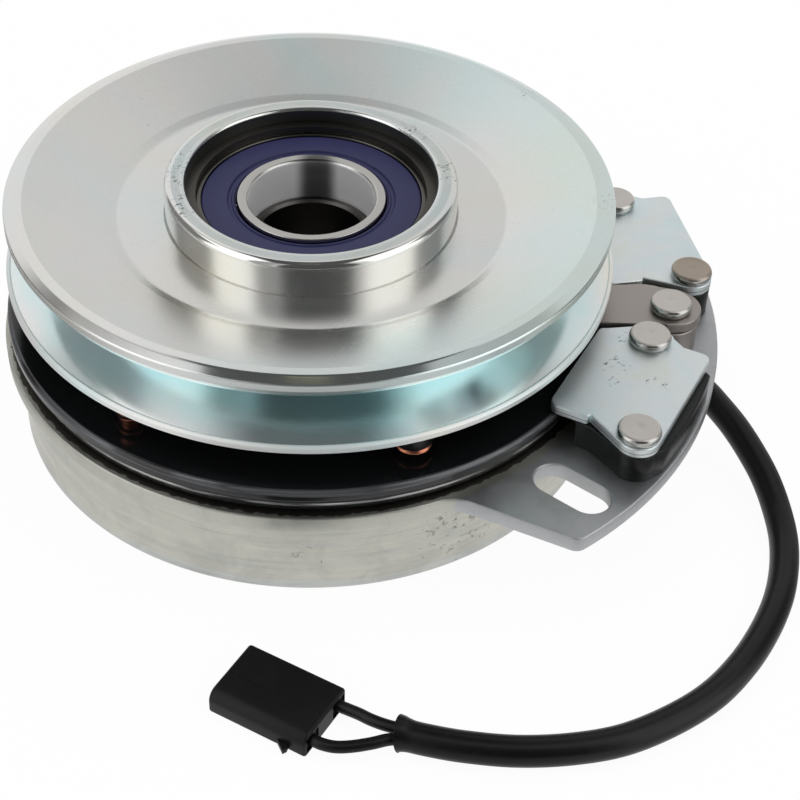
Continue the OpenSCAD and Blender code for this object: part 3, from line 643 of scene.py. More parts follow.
@dataclass(frozen=True)
class Enamel(Finish):
    """Gloss black coating on steel, with a few thin paler streaks: partly real rubbing to grey,
    partly painted highlight.

    Attributes:
        wear_and_glint_tone: Colour of the streaks: rubbed steel and painted highlight.
        rubbed: Stretches that carry the streaks.
        wear_and_glint: How strong the streaks are.
        specks: How much pale dust shows.
    """

    wear_and_glint_tone: Vec3 = (0.30, 0.30, 0.33)
    rubbed: tuple[Zone, ...] = ()
    wear_and_glint: float = 0.5
    specks: float = 0.5

    def shader(self, graph: Graph) -> dict[str, object]:
        """Gives what the shader's sockets hold."""
        place = graph.place()
        radius, level = graph.polar(place)
        cloud = graph.noise(place, 45.0, 4.0, 0.6)
        streak = graph.noise(graph.around(place, 3.5, (radius + level) * 0.9), 1.0, 3.0, 0.55)
        share: Term | float = 0.0
        # Streaks of real wear and painted highlight along the rims.
        for zone in self.rubbed:
            share = graph.most(share, zone.mask(graph, place) * streak.span(0.4, 0.6))
        share = share * self.wear_and_glint
        dust = graph.specks(place, 700.0, 0.16) * cloud.span(0.5, 0.7) * self.specks
        return {
            "Base Color": graph.mix(graph.most(share, dust * 0.4), self.tone, self.wear_and_glint_tone),
            "Roughness": self.rough + (cloud - 0.5) * 0.1 + dust * 0.3,
            "Metallic": share,
            "Normal": bump(graph, streak + cloud, 0.1, 0.00004),
        }


@dataclass(frozen=True)
class Moulded(Finish):
    """Moulded plastic, vinyl or rubber.

    Attributes:
        grain_size: Width of the surface grain, in millimetres.
        grain_depth: Its depth, in millimetres.
        scuff: How much paler rubbed patches show.
        scuff_tone: Their colour.
        shine: Strength of the plain reflection.
    """

    grain_size: float = 0.5
    grain_depth: float = 0.01
    scuff: float = 0.3
    scuff_tone: Vec3 = (0.09, 0.09, 0.095)
    shine: float = 0.5

    def shader(self, graph: Graph) -> dict[str, object]:
        """Gives what the shader's sockets hold."""
        place = graph.place()
        grain = graph.noise(place, 1.0 / (self.grain_size * MM), 3.0, 0.6)
        cloud = graph.noise(place, 70.0, 4.0, 0.6, 0.5)
        rubbed = cloud.span(0.5, 0.72) * grain.span(0.3, 0.7) * self.scuff
        return {
            "Base Color": graph.mix(rubbed, self.tone, self.scuff_tone),
            "Roughness": self.rough + (cloud - 0.5) * 0.16 + (grain - 0.5) * 0.1,
            "Normal": bump(graph, grain, 0.4, self.grain_depth * MM),
            "Specular IOR Level": self.shine,
        }


HUB_MARKS = (Spot(-32.0, 2.0, 64.2, 13.0), Spot(-29.0, -14.0, 64.2, 8.0),
             Spot(23.5, 21.0, 64.2, 8.0), Spot(31.6, 4.0, 64.2, 8.0))
PLATE_MARKS = (Spot(72.5, -30.5, 35.5, 6.0), Spot(72.0, -37.0, 35.5, 3.5),
               Spot(75.0, -19.8, 35.5, 3.6), Spot(81.5, -37.0, 35.5, 5.0))
FACE_MARKS = (Spot(69.0, -1.5, 61.8, 6.0), Spot(52.0, 44.0, 61.0, 5.0))
SHELL_MARKS = (Spot(37.0, -61.6, 13.0, 17.0), Spot(2.0, -71.9, 12.0, 6.0))

FINISHES: tuple[Finish, ...] = (
    ShellSteel("raw_steel", (0.565, 0.56, 0.505), 0.42, Grain.TURNED, lines=0.3, mottle=0.05,
               chips=0.5, chip_size=1.6, streaks=0.5, spots=SHELL_MARKS,
               bands=(Band(Zone(70, 76, -1, 2.5, 1.5), 0.5, (0.58, 0.595, 0.575)),
                      # painted shade: darker, less metallic band in the fillet under the flange's
                      # overhang
                      Band(Zone(70, 76, 19.8, 21.4, 0.6), 0.5, (0.34, 0.33, 0.29), 0.6))),
    ShellSteel("raw_steel.flange", (0.50, 0.51, 0.525), 0.46, Grain.NONE, lines=0.0,
               mottle=0.08, chips=0.3, streaks=0.15, pale=(0.5, 0.49, 0.43),
               # painted shade under the rotor and the armature, on the flange's top
               painted_shade=Zone(0.0, 73.4, 25.3, 26.0, 0.3),
               bands=(Band(Zone(0, 75.4, 20.0, 26.0, 0.6), 0.45, (0.545, 0.545, 0.495)),
                      # painted shade: the slot's walls and the ear round the slot are darkened
                      Band(Spot(61.6, -61.8, 23.6, 11.5), 0.5, (0.38, 0.38, 0.37), 0.4))),
    Metal("pole_steel", (0.42, 0.42, 0.40), 0.35, Grain.TURNED, lines=0.6),
    Moulded("nylon", (0.62, 0.58, 0.46), 0.5, 0.8, 0.01, 0.2, (0.7, 0.66, 0.55)),
    Metal("copper_wire", (0.62, 0.27, 0.11), 0.3, Grain.TURNED, lines=1.0),
    Moulded("potting", (0.03, 0.03, 0.032), 0.35, 3.0, 0.06, 0.2),
    Moulded("grommet_rubber", (0.012, 0.012, 0.013), 0.5, 0.4, 0.01, 0.3, shine=0.35),
    Metal("bearing_steel", (0.51, 0.50, 0.475), 0.2, Grain.TURNED, lines=0.25, mottle=0.04,
          chips=0.3, chip_size=0.6,
          bands=(Band(Zone(14.0, 15.6, 47.8, 58.3, 0.3), 0.3, (0.82, 0.82, 0.82), 1.0, 0.3),
                 # painted reflection: dark spots down the far (+Y) wall of the inner race's bore
                 *(Band(Spot(0.4, 15.0, level, 6.0), 0.28, (0.06, 0.06, 0.065), 0.85)
                   for level in (57.5, 54.0, 50.5, 47.5)),
                 # painted shade: the outer race's top, recessed under the hub's mouth, is
                 # darkened
                 Band(Zone(25.7, 28.0, 57.5, 59.2, 0.2), 0.25, (0.10, 0.095, 0.085), 0.95))),
    Metal("ball_steel", (0.72, 0.72, 0.72), 0.08, mottle=0.03),
    Metal("cage_steel", (0.55, 0.42, 0.22), 0.35),
    Moulded("blue_seal", (0.024, 0.025, 0.080), 0.45, 0.35, 0.006, 0.12, (0.05, 0.05, 0.12),
            0.3),
    Moulded("black_seal", (0.016, 0.016, 0.017), 0.45, 0.35, 0.008, 0.25),
    Metal("ring_steel", (0.10, 0.095, 0.085), 0.42, Grain.NONE, mottle=0.1),
    Enamel("black_steel", (0.006, 0.0065, 0.007), 0.3),
    # grey streaks on the armature's upper rim: partly wear, partly painted highlight
    Enamel("black_steel.armature", (0.006, 0.0065, 0.007), 0.16, wear_and_glint_tone=(0.22, 0.225, 0.24),
           wear_and_glint=0.5, rubbed=(Zone(72.6, 75, 31.4, 32.6, 0.25), )),
    # pale streaks on the rotor's top edge: painted highlight lines laid on as bare steel
    Enamel("black_steel.rotor", (0.006, 0.0065, 0.007), 0.2, wear_and_glint_tone=(0.6, 0.6, 0.62), wear_and_glint=1.0,
           rubbed=(Zone(72.0, 75, 27.5, 28.0, 0.15), )),
    Metal("hub_steel", (0.10, 0.095, 0.09), 0.35, Grain.TURNED, lines=0.8),
    Moulded("friction", (0.10, 0.07, 0.05), 0.8, 0.8, 0.04, 0.4, (0.16, 0.12, 0.09)),
    Zinc("zinc", (0.80, 0.855, 0.865), 0.46, mottle=0.07, cloud=9.0, frost=0.3, film=0.3,
         film_size=14.0, cool_tint_and_reflection=(1.0, 1.0, 1.0), chips=0.85, chip_size=1.5, spots=PLATE_MARKS,
         bands=(Band(Zone(60, 130, 33.95, 34.12, 0.08), 0.5, (0.22, 0.23, 0.23), 0.8), )),
    Zinc("zinc.face", (0.755, 0.755, 0.735), 0.27, mottle=0.03, frost=0.05, film=0.3,
         # cyan wash towards +X: partly plating tint, partly painted reflection
         chips=0.4, chip_size=0.9, spots=FACE_MARKS, cool_tint_and_reflection=(0.93, 1.05, 1.06),
         cool_ring=(42.0, 66.0),
         bands=(Band(Zone(67.3, 71.46, 59.9, 63), 0.12), Band(Zone(71.46, 72, 57, 61.1), 0.42),
                # groove's upper face, smoother and cyan: partly plating tint, partly painted
                # reflection
                Band(Zone(57.3, 71.2, 51, 58.0), 0.15, (0.79, 0.84, 0.85)))),
    Zinc("zinc.groove", (0.865, 0.86, 0.84), 0.16, mottle=0.03, frost=0.0, film=0.35,
         # cyan wash on the groove's inner part: partly plating tint, partly painted reflection
         film_size=35.0, cool_tint_and_reflection=(0.79, 0.97, 1.0), cool_ring=(73.0, 65.0), cooled=1.0,
         bands=(Band(Zone(71.6, 74, 42, 45), 0.42, (0.84, 0.85, 0.83), 1.0, 0.6), )),
    Zinc("zinc.hub", (0.62, 0.665, 0.655), 0.38, mottle=0.12, cloud=6.0, frost=0.3, film=0.3,
         cool_tint_and_reflection=(1.0, 1.0, 1.0), chips=0.85, chip_size=0.9, spots=HUB_MARKS,
         bands=(Band(Zone(32.95, 36, 46, 64.8), 0.11, (0.755, 0.76, 0.74)),
                Band(Zone(29.0, 30.8, 63.4, 64.8, 0.15), 0.16, (0.70, 0.73, 0.72)),
                # painted shade: the mouth's wall and the groove under its lip are darkened
                Band(Zone(29.0, 31.5, 58.0, 63.5, 0.15), 0.4, (0.11, 0.115, 0.11)))),
    Metal("spring_steel", (0.02, 0.02, 0.021), 0.5, Grain.ROLLED, lines=0.2, mottle=0.2),
    Metal("copper_rivet", (0.54, 0.205, 0.125), 0.28, mottle=0.2, stain=(0.25, 0.09, 0.05),
          stained=0.5),
    Metal("nickel_rivet", (0.62, 0.585, 0.55), 0.40, mottle=0.06, stain=(0.5, 0.42, 0.33),
          stained=0.3, chips=0.6, chip_size=1.0,
          bands=(Band(Zone(0, 130, 35.6, 37.55, 0.1), 0.2, (0.50, 0.50, 0.48)), )),
    Metal("nickel_rivet.aged", (0.42, 0.36, 0.30), 0.4, mottle=0.1, chips=0.6,
          bands=(Band(Zone(0, 130, 35.6, 37.2, 0.1), 0.2, (0.50, 0.50, 0.48)), )),
    Metal("strap_steel", (0.40, 0.365, 0.34), 0.42, mottle=0.1, chips=0.2, frost=0.2),
    Moulded("magnet_plastic", (0.004, 0.0045, 0.0045), 0.3, 0.5, 0.006, 0.08, shine=0.3),
    Metal("magnet", (0.08, 0.08, 0.085), 0.5, mottle=0.2),
    Moulded("sleeve", (0.0025, 0.0025, 0.003), 0.33, 1.6, 0.02, 0.06, shine=0.3),
    Moulded("wire", (0.003, 0.003, 0.0035), 0.36, 1.2, 0.02, 0.1, shine=0.3),
    Moulded("connector", (0.0035, 0.0035, 0.004), 0.46, 0.45, 0.01, 0.15, (0.018, 0.018, 0.019),
            0.27),
    Metal("terminal", (0.66, 0.52, 0.28), 0.3, Grain.ROLLED, lines=0.4),
)
PALETTE = {finish.name: finish for finish in FINISHES}


# ---------------------------------------------------------------- plane outlines


def on_circle(centre: Vec2, radius: float, angle: float) -> Vec2:
    """Gives the point of a circle at an angle in degrees."""
    turn = math.radians(angle)
    return centre[0] + radius * math.cos(turn), centre[1] + radius * math.sin(turn)


def arc(centre: Vec2, radius: float, start: float, end: float, steps: int) -> list[Vec2]:
    """Gives points on a circle's arc, both ends with them; the angles are degrees."""
    return [
        on_circle(centre, radius, start + (end - start) * i / steps) for i in range(steps + 1)
    ]


def ring(radius: float, steps: int, centre: Vec2 = AXIS, hole: bool = False) -> list[Vec2]:
    """Gives a whole circle's points, anticlockwise, or clockwise for a hole."""
    start, end = (360, 0) if hole else (0, 360)
    return arc(centre, radius, start, end, steps)[:-1]


def short_arc(centre: Vec2, first: Vec2, last: Vec2, steps: int) -> list[Vec2]:
    """Gives points on the shorter arc round a centre, from one point to another."""
    radius = math.dist(centre, first)
    start = math.degrees(math.atan2(first[1] - centre[1], first[0] - centre[0]))
    end = math.degrees(math.atan2(last[1] - centre[1], last[0] - centre[0]))
    turn = (end - start + 180.0) % 360.0 - 180.0
    return arc(centre, radius, start, start + turn, steps)


def rounded(corners: Sequence[Corner], steps: int = 4, guard: float = 0.0) -> list[Vec2]:
    """Rounds the corners of a closed outline.

    Args:
        corners: Points of the outline, each with the radius of its corner.
        steps: Straight steps in a rounded corner.
        guard: Distance of an extra point before and after a corner, which keeps the
            shading of a flat beside it even.

    Returns:
        The outline's points.
    """
    out: list[Vec2] = []
    for i, (x, y, radius) in enumerate(corners):
        here = Vector((x, y))
        if radius <= 0:
            out.append((x, y))
            continue
        before = Vector(corners[i - 1][:2]) - here
        after = Vector(corners[(i + 1) % len(corners)][:2]) - here
        room = CORNER_ROOM * min(before.length, after.length)
        before.normalize()
        after.normalize()
        half = math.acos(max(-1.0, min(1.0, before.dot(after)))) / 2
        reach = min(radius / math.tan(half), room)
        middle = here + (before + after).normalized() * (reach / math.cos(half))
        first, last = here + before * reach, here + after * reach
        if guard and reach + guard < room:
            out.append(tuple(first + before * guard))
        out += short_arc(tuple(middle), tuple(first), tuple(last), steps)
        if guard and reach + guard < room:
            out.append(tuple(last + after * guard))
    return out


def turned_about(points: Iterable[Vec2], angle: float, move: Vec2 = AXIS) -> list[Vec2]:
    """Turns points about the origin by an angle in degrees, then moves them."""
    c, s = math.cos(math.radians(angle)), math.sin(math.radians(angle))
    return [(c * x - s * y + move[0], s * x + c * y + move[1]) for x, y in points]


def inset(loop: Sequence[Vec2], depth: float) -> list[Vec2]:
    """Moves a loop's points to the left of its travel by a depth, along the mitres."""
    out: list[Vec2] = []
    for i, point in enumerate(loop):
        here = Vector(point)
        into = (here - Vector(loop[i - 1])).normalized()
        away = (Vector(loop[(i + 1) % len(loop)]) - here).normalized()
        first, last = Vector((-into.y, into.x)), Vector((-away.y, away.x))
        out.append(tuple(here + (first + last) * depth / max(MITRE_FLOOR, 1.0 + first.dot(last))))
    return out


def kidney(radius: float, half_width: float, middle: float, half_turn: float) -> list[Vec2]:
    """Gives a slot with round ends that is bent round the axis; the angles are degrees."""
    low, high = middle - half_turn, middle + half_turn
    return [
        *arc(AXIS, radius + half_width, low, high, 24),
        *arc(on_circle(AXIS, radius, high), half_width, high, high + 180, 6)[1:-1],
        *arc(AXIS, radius - half_width, high, low, 24),
        *arc(on_circle(AXIS, radius, low), half_width, low + 180, low + 360, 6)[1:-1],
    ]


def stadium(length: float, width: float, steps: int = 16) -> list[Vec2]:
    """Gives a slot with round ends as a hole's loop, which runs clockwise."""
    half, radius = (length - width) / 2, width / 2
    loop = arc((half, 0.0), radius, 90, -90, steps)
    return loop + arc((-half, 0.0), radius, -90, -270, steps)


# ---------------------------------------------------------------- meshes


def add_object(name: str, mesh: bpy.types.Mesh) -> bpy.types.Object:
    """Puts a mesh into the scene as an object at the origin."""
    made = bpy.data.objects.new(name, mesh)
    bpy.context.scene.collection.objects.link(made)
    return made


def smoothed(bm: bmesh.types.BMesh, limit: float = SHARP_ANGLE) -> None:
    """Makes faces smooth but for edges already sharp, or bent by more than a limit."""
    for face in bm.faces:
        face.smooth = True
    for edge in bm.edges:
        if len(edge.link_faces) == 2 and edge.calc_face_angle() > limit:
            edge.smooth = False


def from_bmesh(name: str, bm: bmesh.types.BMesh, limit: float = SHARP_ANGLE) -> bpy.types.Object:
    """Turns a bmesh into an object, smooth but for edges bent by more than a limit."""
    smoothed(bm, limit)
    mesh = bpy.data.meshes.new(name)
    bm.to_mesh(mesh)
    bm.free()
    return add_object(name, mesh)


def clean(obj: bpy.types.Object) -> bpy.types.Object:
    """Merges an object's doubles, turns its faces outwards and marks its sharp edges."""
    bm = bmesh.new()
    bm.from_mesh(obj.data)
    bmesh.ops.remove_doubles(bm, verts=bm.verts, dist=1e-6)
    bmesh.ops.dissolve_degenerate(bm, edges=bm.edges, dist=1e-7)
    bmesh.ops.recalc_face_normals(bm, faces=bm.faces)
    smoothed(bm)
    bm.to_mesh(obj.data)
    bm.free()
    return obj


def slab(
    name: str,
    outer: Sequence[Vec2],
    z0: float,
    z1: float,
    top: float,
    bottom: float,
    holes: Sequence[Sequence[Vec2]] = (),
    steps: int = 4,
) -> bpy.types.Object:
    """Builds a flat plate with rounded edges.

    Args:
        name: The object's name.
        outer: The outline, anticlockwise.
        z0: Height of its lower face.
        z1: Height of its upper face.
        top: Radius of its upper edges.
        bottom: Radius of its lower edges.
        holes: Outlines of its holes, clockwise.
        steps: Steps in a rounded edge.

    Returns:
        The object.
    """
    quarter = [math.pi / 2 * i / steps for i in range(steps + 1)]
    levels = [(bottom * (1 - math.sin(a)), z0 + bottom * (1 - math.cos(a))) for a in quarter]
    levels += [(top * (1 - math.cos(a)), z1 - top * (1 - math.sin(a))) for a in quarter]
    bm = bmesh.new()
    rims: dict[int, list[list[bmesh.types.BMVert]]] = {0: [], len(levels) - 1: []}
    for loop in (outer, *holes):
        below: list[bmesh.types.BMVert] = []
        for number, (depth, z) in enumerate(levels):
            row = [bm.verts.new((x * MM, y * MM, z * MM)) for x, y in inset(loop, depth)]
            for i in range(len(row) if below else 0):
                j = (i + 1) % len(row)
                bm.faces.new((below[i], below[j], row[j], row[i]))
            if number in rims:
                rims[number].append(row)
            below = row
    for number, loops in rims.items():
        flat = [vert for row in loops for vert in row]
        up = 1.0 if number else -1.0
        for tri in tessellate_polygon([[vert.co for vert in row] for row in loops]):
            a, b, c = (flat[i] for i in tri)
            turn = (b.co - a.co).cross(c.co - a.co).z * up
            bm.faces.new((a, b, c) if turn > 0 else (a, c, b))
        for row in loops:
            for i, vert in enumerate(row):
                bm.edges.get((vert, row[i - 1])).smooth = False
    bmesh.ops.remove_doubles(bm, verts=bm.verts, dist=1e-7)
    return from_bmesh(name, bm)


def spun(name: str, profile: Sequence[Vec2], segments: int = 40) -> bpy.types.Object:
    """Builds a solid turned about Z, whose open profile starts and ends on the axis."""
    bm = bmesh.new()
    poles = [bm.verts.new((0, 0, z * MM)) for z in (profile[0][1], profile[-1][1])]
    rings = []
    for radius, z in profile[1:-1]:
        spots = ring(radius, segments)
        rings.append([bm.verts.new((x * MM, y * MM, z * MM)) for x, y in spots])
    for i in range(segments):
        j = (i + 1) % segments
        bm.faces.new((poles[0], rings[0][j], rings[0][i]))
        bm.faces.new((poles[1], rings[-1][i], rings[-1][j]))
        for low, high in zip(rings, rings[1:]):
            bm.faces.new((low[i], low[j], high[j], high[i]))
    bmesh.ops.recalc_face_normals(bm, faces=bm.faces)
    return from_bmesh(name, bm)


def changed(obj: bpy.types.Object) -> bpy.types.Object:
    """Turns an object's modifiers into its plain mesh."""
    bpy.context.view_layer.update()
    graph = bpy.context.evaluated_depsgraph_get()
    mesh = bpy.data.meshes.new_from_object(obj.evaluated_get(graph))
    obj.modifiers.clear()
    old, obj.data = obj.data, mesh
    bpy.data.meshes.remove(old)
    return obj


def cut(
    obj: bpy.types.Object, tools: Sequence[bpy.types.Object], operation: str = "DIFFERENCE"
) -> bpy.types.Object:
    """Takes tools away from an object, or joins them to it, and removes them."""
    for tool in tools:
        step = obj.modifiers.new("cut", "BOOLEAN")
        step.operation = operation
        step.solver = "EXACT"
        step.object = tool
    changed(obj)
    for tool in tools:
        bpy.data.meshes.remove(tool.data)
    return clean(obj)


class Recipe:
    """A Geometry Nodes tree with named inputs, which makes plain meshes."""

    def __init__(self, name: str, inputs: dict[str, str]) -> None:
        """Starts the tree with its inputs, each a name and a socket type."""
        self.tree = bpy.data.node_groups.new(name, "GeometryNodeTree")
        self.graph = Graph(self.tree)
        face = self.tree.interface
        face.new_socket(name="Geometry", in_out="INPUT", socket_type="NodeSocketGeometry")
        self.names = {
            key: face.new_socket(name=key, in_out="INPUT", socket_type=kind).identifier
            for key, kind in {**inputs, "Finish": "NodeSocketMaterial"}.items()
        }
        face.new_socket(name="Geometry", in_out="OUTPUT", socket_type="NodeSocketGeometry")
        self.given = self.graph.node("NodeGroupInput").outputs

    def close(self, shape: bpy.types.NodeSocket) -> "Recipe":
        """Ends the tree: real geometry, smooth, in its finish."""
        smooth = self.graph.node("GeometryNodeSetShadeSmooth", {0: shape})
        real = self.graph.node("GeometryNodeRealizeInstances", {0: smooth.outputs[0]})
        painted = self.graph.node(
            "GeometryNodeSetMaterial",
            {"Geometry": real.outputs[0], "Material": self.given["Finish"]},
        )
        self.graph.node("NodeGroupOutput", {0: painted.outputs[0]})
        return self

    def make(
        self, name: str, start: bpy.types.Mesh, finish: str, values: dict[str, object]
    ) -> bpy.types.Object:
        """Runs the tree on a mesh.

        Args:
            name: Name of the piece.
            start: The mesh that the tree starts from.
            finish: The piece's finish.
            values: The tree's inputs by name.

        Returns:
            The piece as a plain mesh.
        """
        obj = add_object(name, start)
        step = obj.modifiers.new("recipe", "NODES")
        step.node_group = self.tree
        for key, value in {**values, "Finish": PALETTE[finish].material()}.items():
            step[self.names[key]] = value
        return clean(changed(obj))


def sweep_recipe(name: str, round_shaft: bool) -> Recipe:
    """Makes a tree that sweeps a drawn line and a circle along each other.

    Args:
        name: The tree's name.
        round_shaft: Whether the line goes round the circle, or else the circle along the
            line, with closed ends.

    Returns:
        The tree.
    """
    made = Recipe(name, {"Radius": "NodeSocketFloat", "Steps": "NodeSocketInt"})
    drawn = made.graph.node("GeometryNodeMeshToCurve", {0: made.given["Geometry"]})
    circle = made.graph.node(
        "GeometryNodeCurvePrimitiveCircle",
        {"Resolution": made.given["Steps"], "Radius": made.given["Radius"]},
    )
    path, profile = (circle, drawn) if round_shaft else (drawn, circle)
    swept = made.graph.node(
        "GeometryNodeCurveToMesh",
        {
            "Curve": path.outputs[0], "Profile Curve": profile.outputs[0],
            "Fill Caps": not round_shaft,
        },
    )
    return made.close(swept.outputs[0])


def stamp_recipe() -> Recipe:
    """Makes the tree that sets a copy of one object on every point."""
    made = Recipe("stamp", {"Pattern": "NodeSocketObject"})
    pattern = made.graph.node(
        "GeometryNodeObjectInfo", {0: made.given["Pattern"]}, transform_space="ORIGINAL"
    )
    copies = made.graph.node(
        "GeometryNodeInstanceOnPoints",
        {"Points": made.given["Geometry"], "Instance": pattern.outputs["Geometry"]},
    )
    return made.close(copies.outputs[0])


class Workshop:
    """The recipes, and the ways in which every sub-assembly makes its pieces.

    Attributes:
        GUIDE: Radius of the circle that carries a profile round the shaft, in millimetres.
    """

    GUIDE = 50.0

    def __init__(self) -> None:
        """Builds the three recipes."""
        self.lathe = sweep_recipe("lathe", True)
        self.stamp = stamp_recipe()
        self.tube = sweep_recipe("tube", False)

    def turned(self, name: str, finish: str, corners: Sequence[Corner]) -> bpy.types.Object:
        """Turns a closed profile of radius, height and corner radius about the shaft."""
        points = rounded(corners, CORNER_STEPS, FLAT_GUARD)
        mesh = bpy.data.meshes.new(name)
        spots = [((r - self.GUIDE) * MM, -z * MM, 0.0) for r, z in points]
        edges = [(i, (i + 1) % len(spots)) for i in range(len(spots))]
        mesh.from_pydata(spots, edges, [])
        values = {"Radius": self.GUIDE * MM, "Steps": SEGMENTS}
        return self.lathe.make(name, mesh, finish, values)

    def mount_turned(
        self, name: str, finish: str, body: str, nodes: Sequence[str], corners: Sequence[Corner]
    ) -> None:
        """Turns a profile about the shaft and sets the piece on its body."""
        self.mount(self.turned(name, finish, corners), finish, body, *nodes)

    def mount_stamped(
        self,
        name: str,
        finish: str,
        body: str,
        node: str,
        pattern: bpy.types.Object,
        places: Sequence[Vec3],
    ) -> None:
        """Sets copies of a pattern on places, mounts them and removes the pattern.

        Args:
            name: Name of the piece.
            finish: Its finish.
            body: The body that it moves with.
            node: The solid that it replaces.
            pattern: The object to copy.
            places: Where the copies stand, in millimetres.
        """
        mesh = bpy.data.meshes.new(name)
        mesh.from_pydata([tuple(c * MM for c in place) for place in places], [], [])
        made = self.stamp.make(name, mesh, finish, {"Pattern": pattern})
        bpy.data.meshes.remove(pattern.data)
        self.mount(made, finish, body, node)

    def piped(
        self, name: str, finish: str, line: Sequence[Vec3], radius: float
    ) -> bpy.types.Object:
        """Carries a circle along a line in millimetres."""
        mesh = bpy.data.meshes.new(name)
        spots = [tuple(c * MM for c in place) for place in line]
        mesh.from_pydata(spots, [(i, i + 1) for i in range(len(spots) - 1)], [])
        return self.tube.make(name, mesh, finish, {"Radius": radius * MM, "Steps": TUBE_SIDES})

    @staticmethod
    def mount(
        obj: bpy.types.Object, finish: str, body: str, *stands_for: str
    ) -> bpy.types.Object:
        """Finishes a piece and sets it on its body.

        Args:
            obj: The piece.
            finish: Its finish.
            body: The body that it moves with.
            *stands_for: The solids that it replaces.

        Returns:
            The piece.
        """
        obj.data.materials.clear()
        obj.data.materials.append(PALETTE[finish].material())
        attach(obj, body)
        if stands_for:
            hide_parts(*stands_for)
        log.info("%s: %d faces, rides on %s", obj.name, len(obj.data.polygons), body)
        return obj


# ---------------------------------------------------------------- studio


@dataclass(frozen=True)
class Panel:
    """A part of the studio's surroundings as polished metal shows it.

    Attributes:
        azimuth: Its middle, in degrees from +X towards +Y.
        half: Half its width, in degrees.
        low: Its lower edge's elevation, in degrees.
        high: Its upper edge's elevation, in degrees.
        level: Its brightness.
        soft: Width over which its sides fade, in degrees.
    """

    azimuth: float
    half: float
    low: float
    high: float
    level: float
    soft: float = 8.0


@dataclass(frozen=True)
class Card:
    """A level card over the bench.

    Attributes:
        name: Its name.
        low: Its left near corner, in metres.
        high: Its right far corner.
        height: Height at which it hangs.
        fade: Widths over which its sides and its ends fade.
        tone: Its colour.
    """

    name: str
    low: Vec2
    high: Vec2
    height: float
    fade: Vec2
    tone: Vec3 = (0.09, 0.09, 0.09)


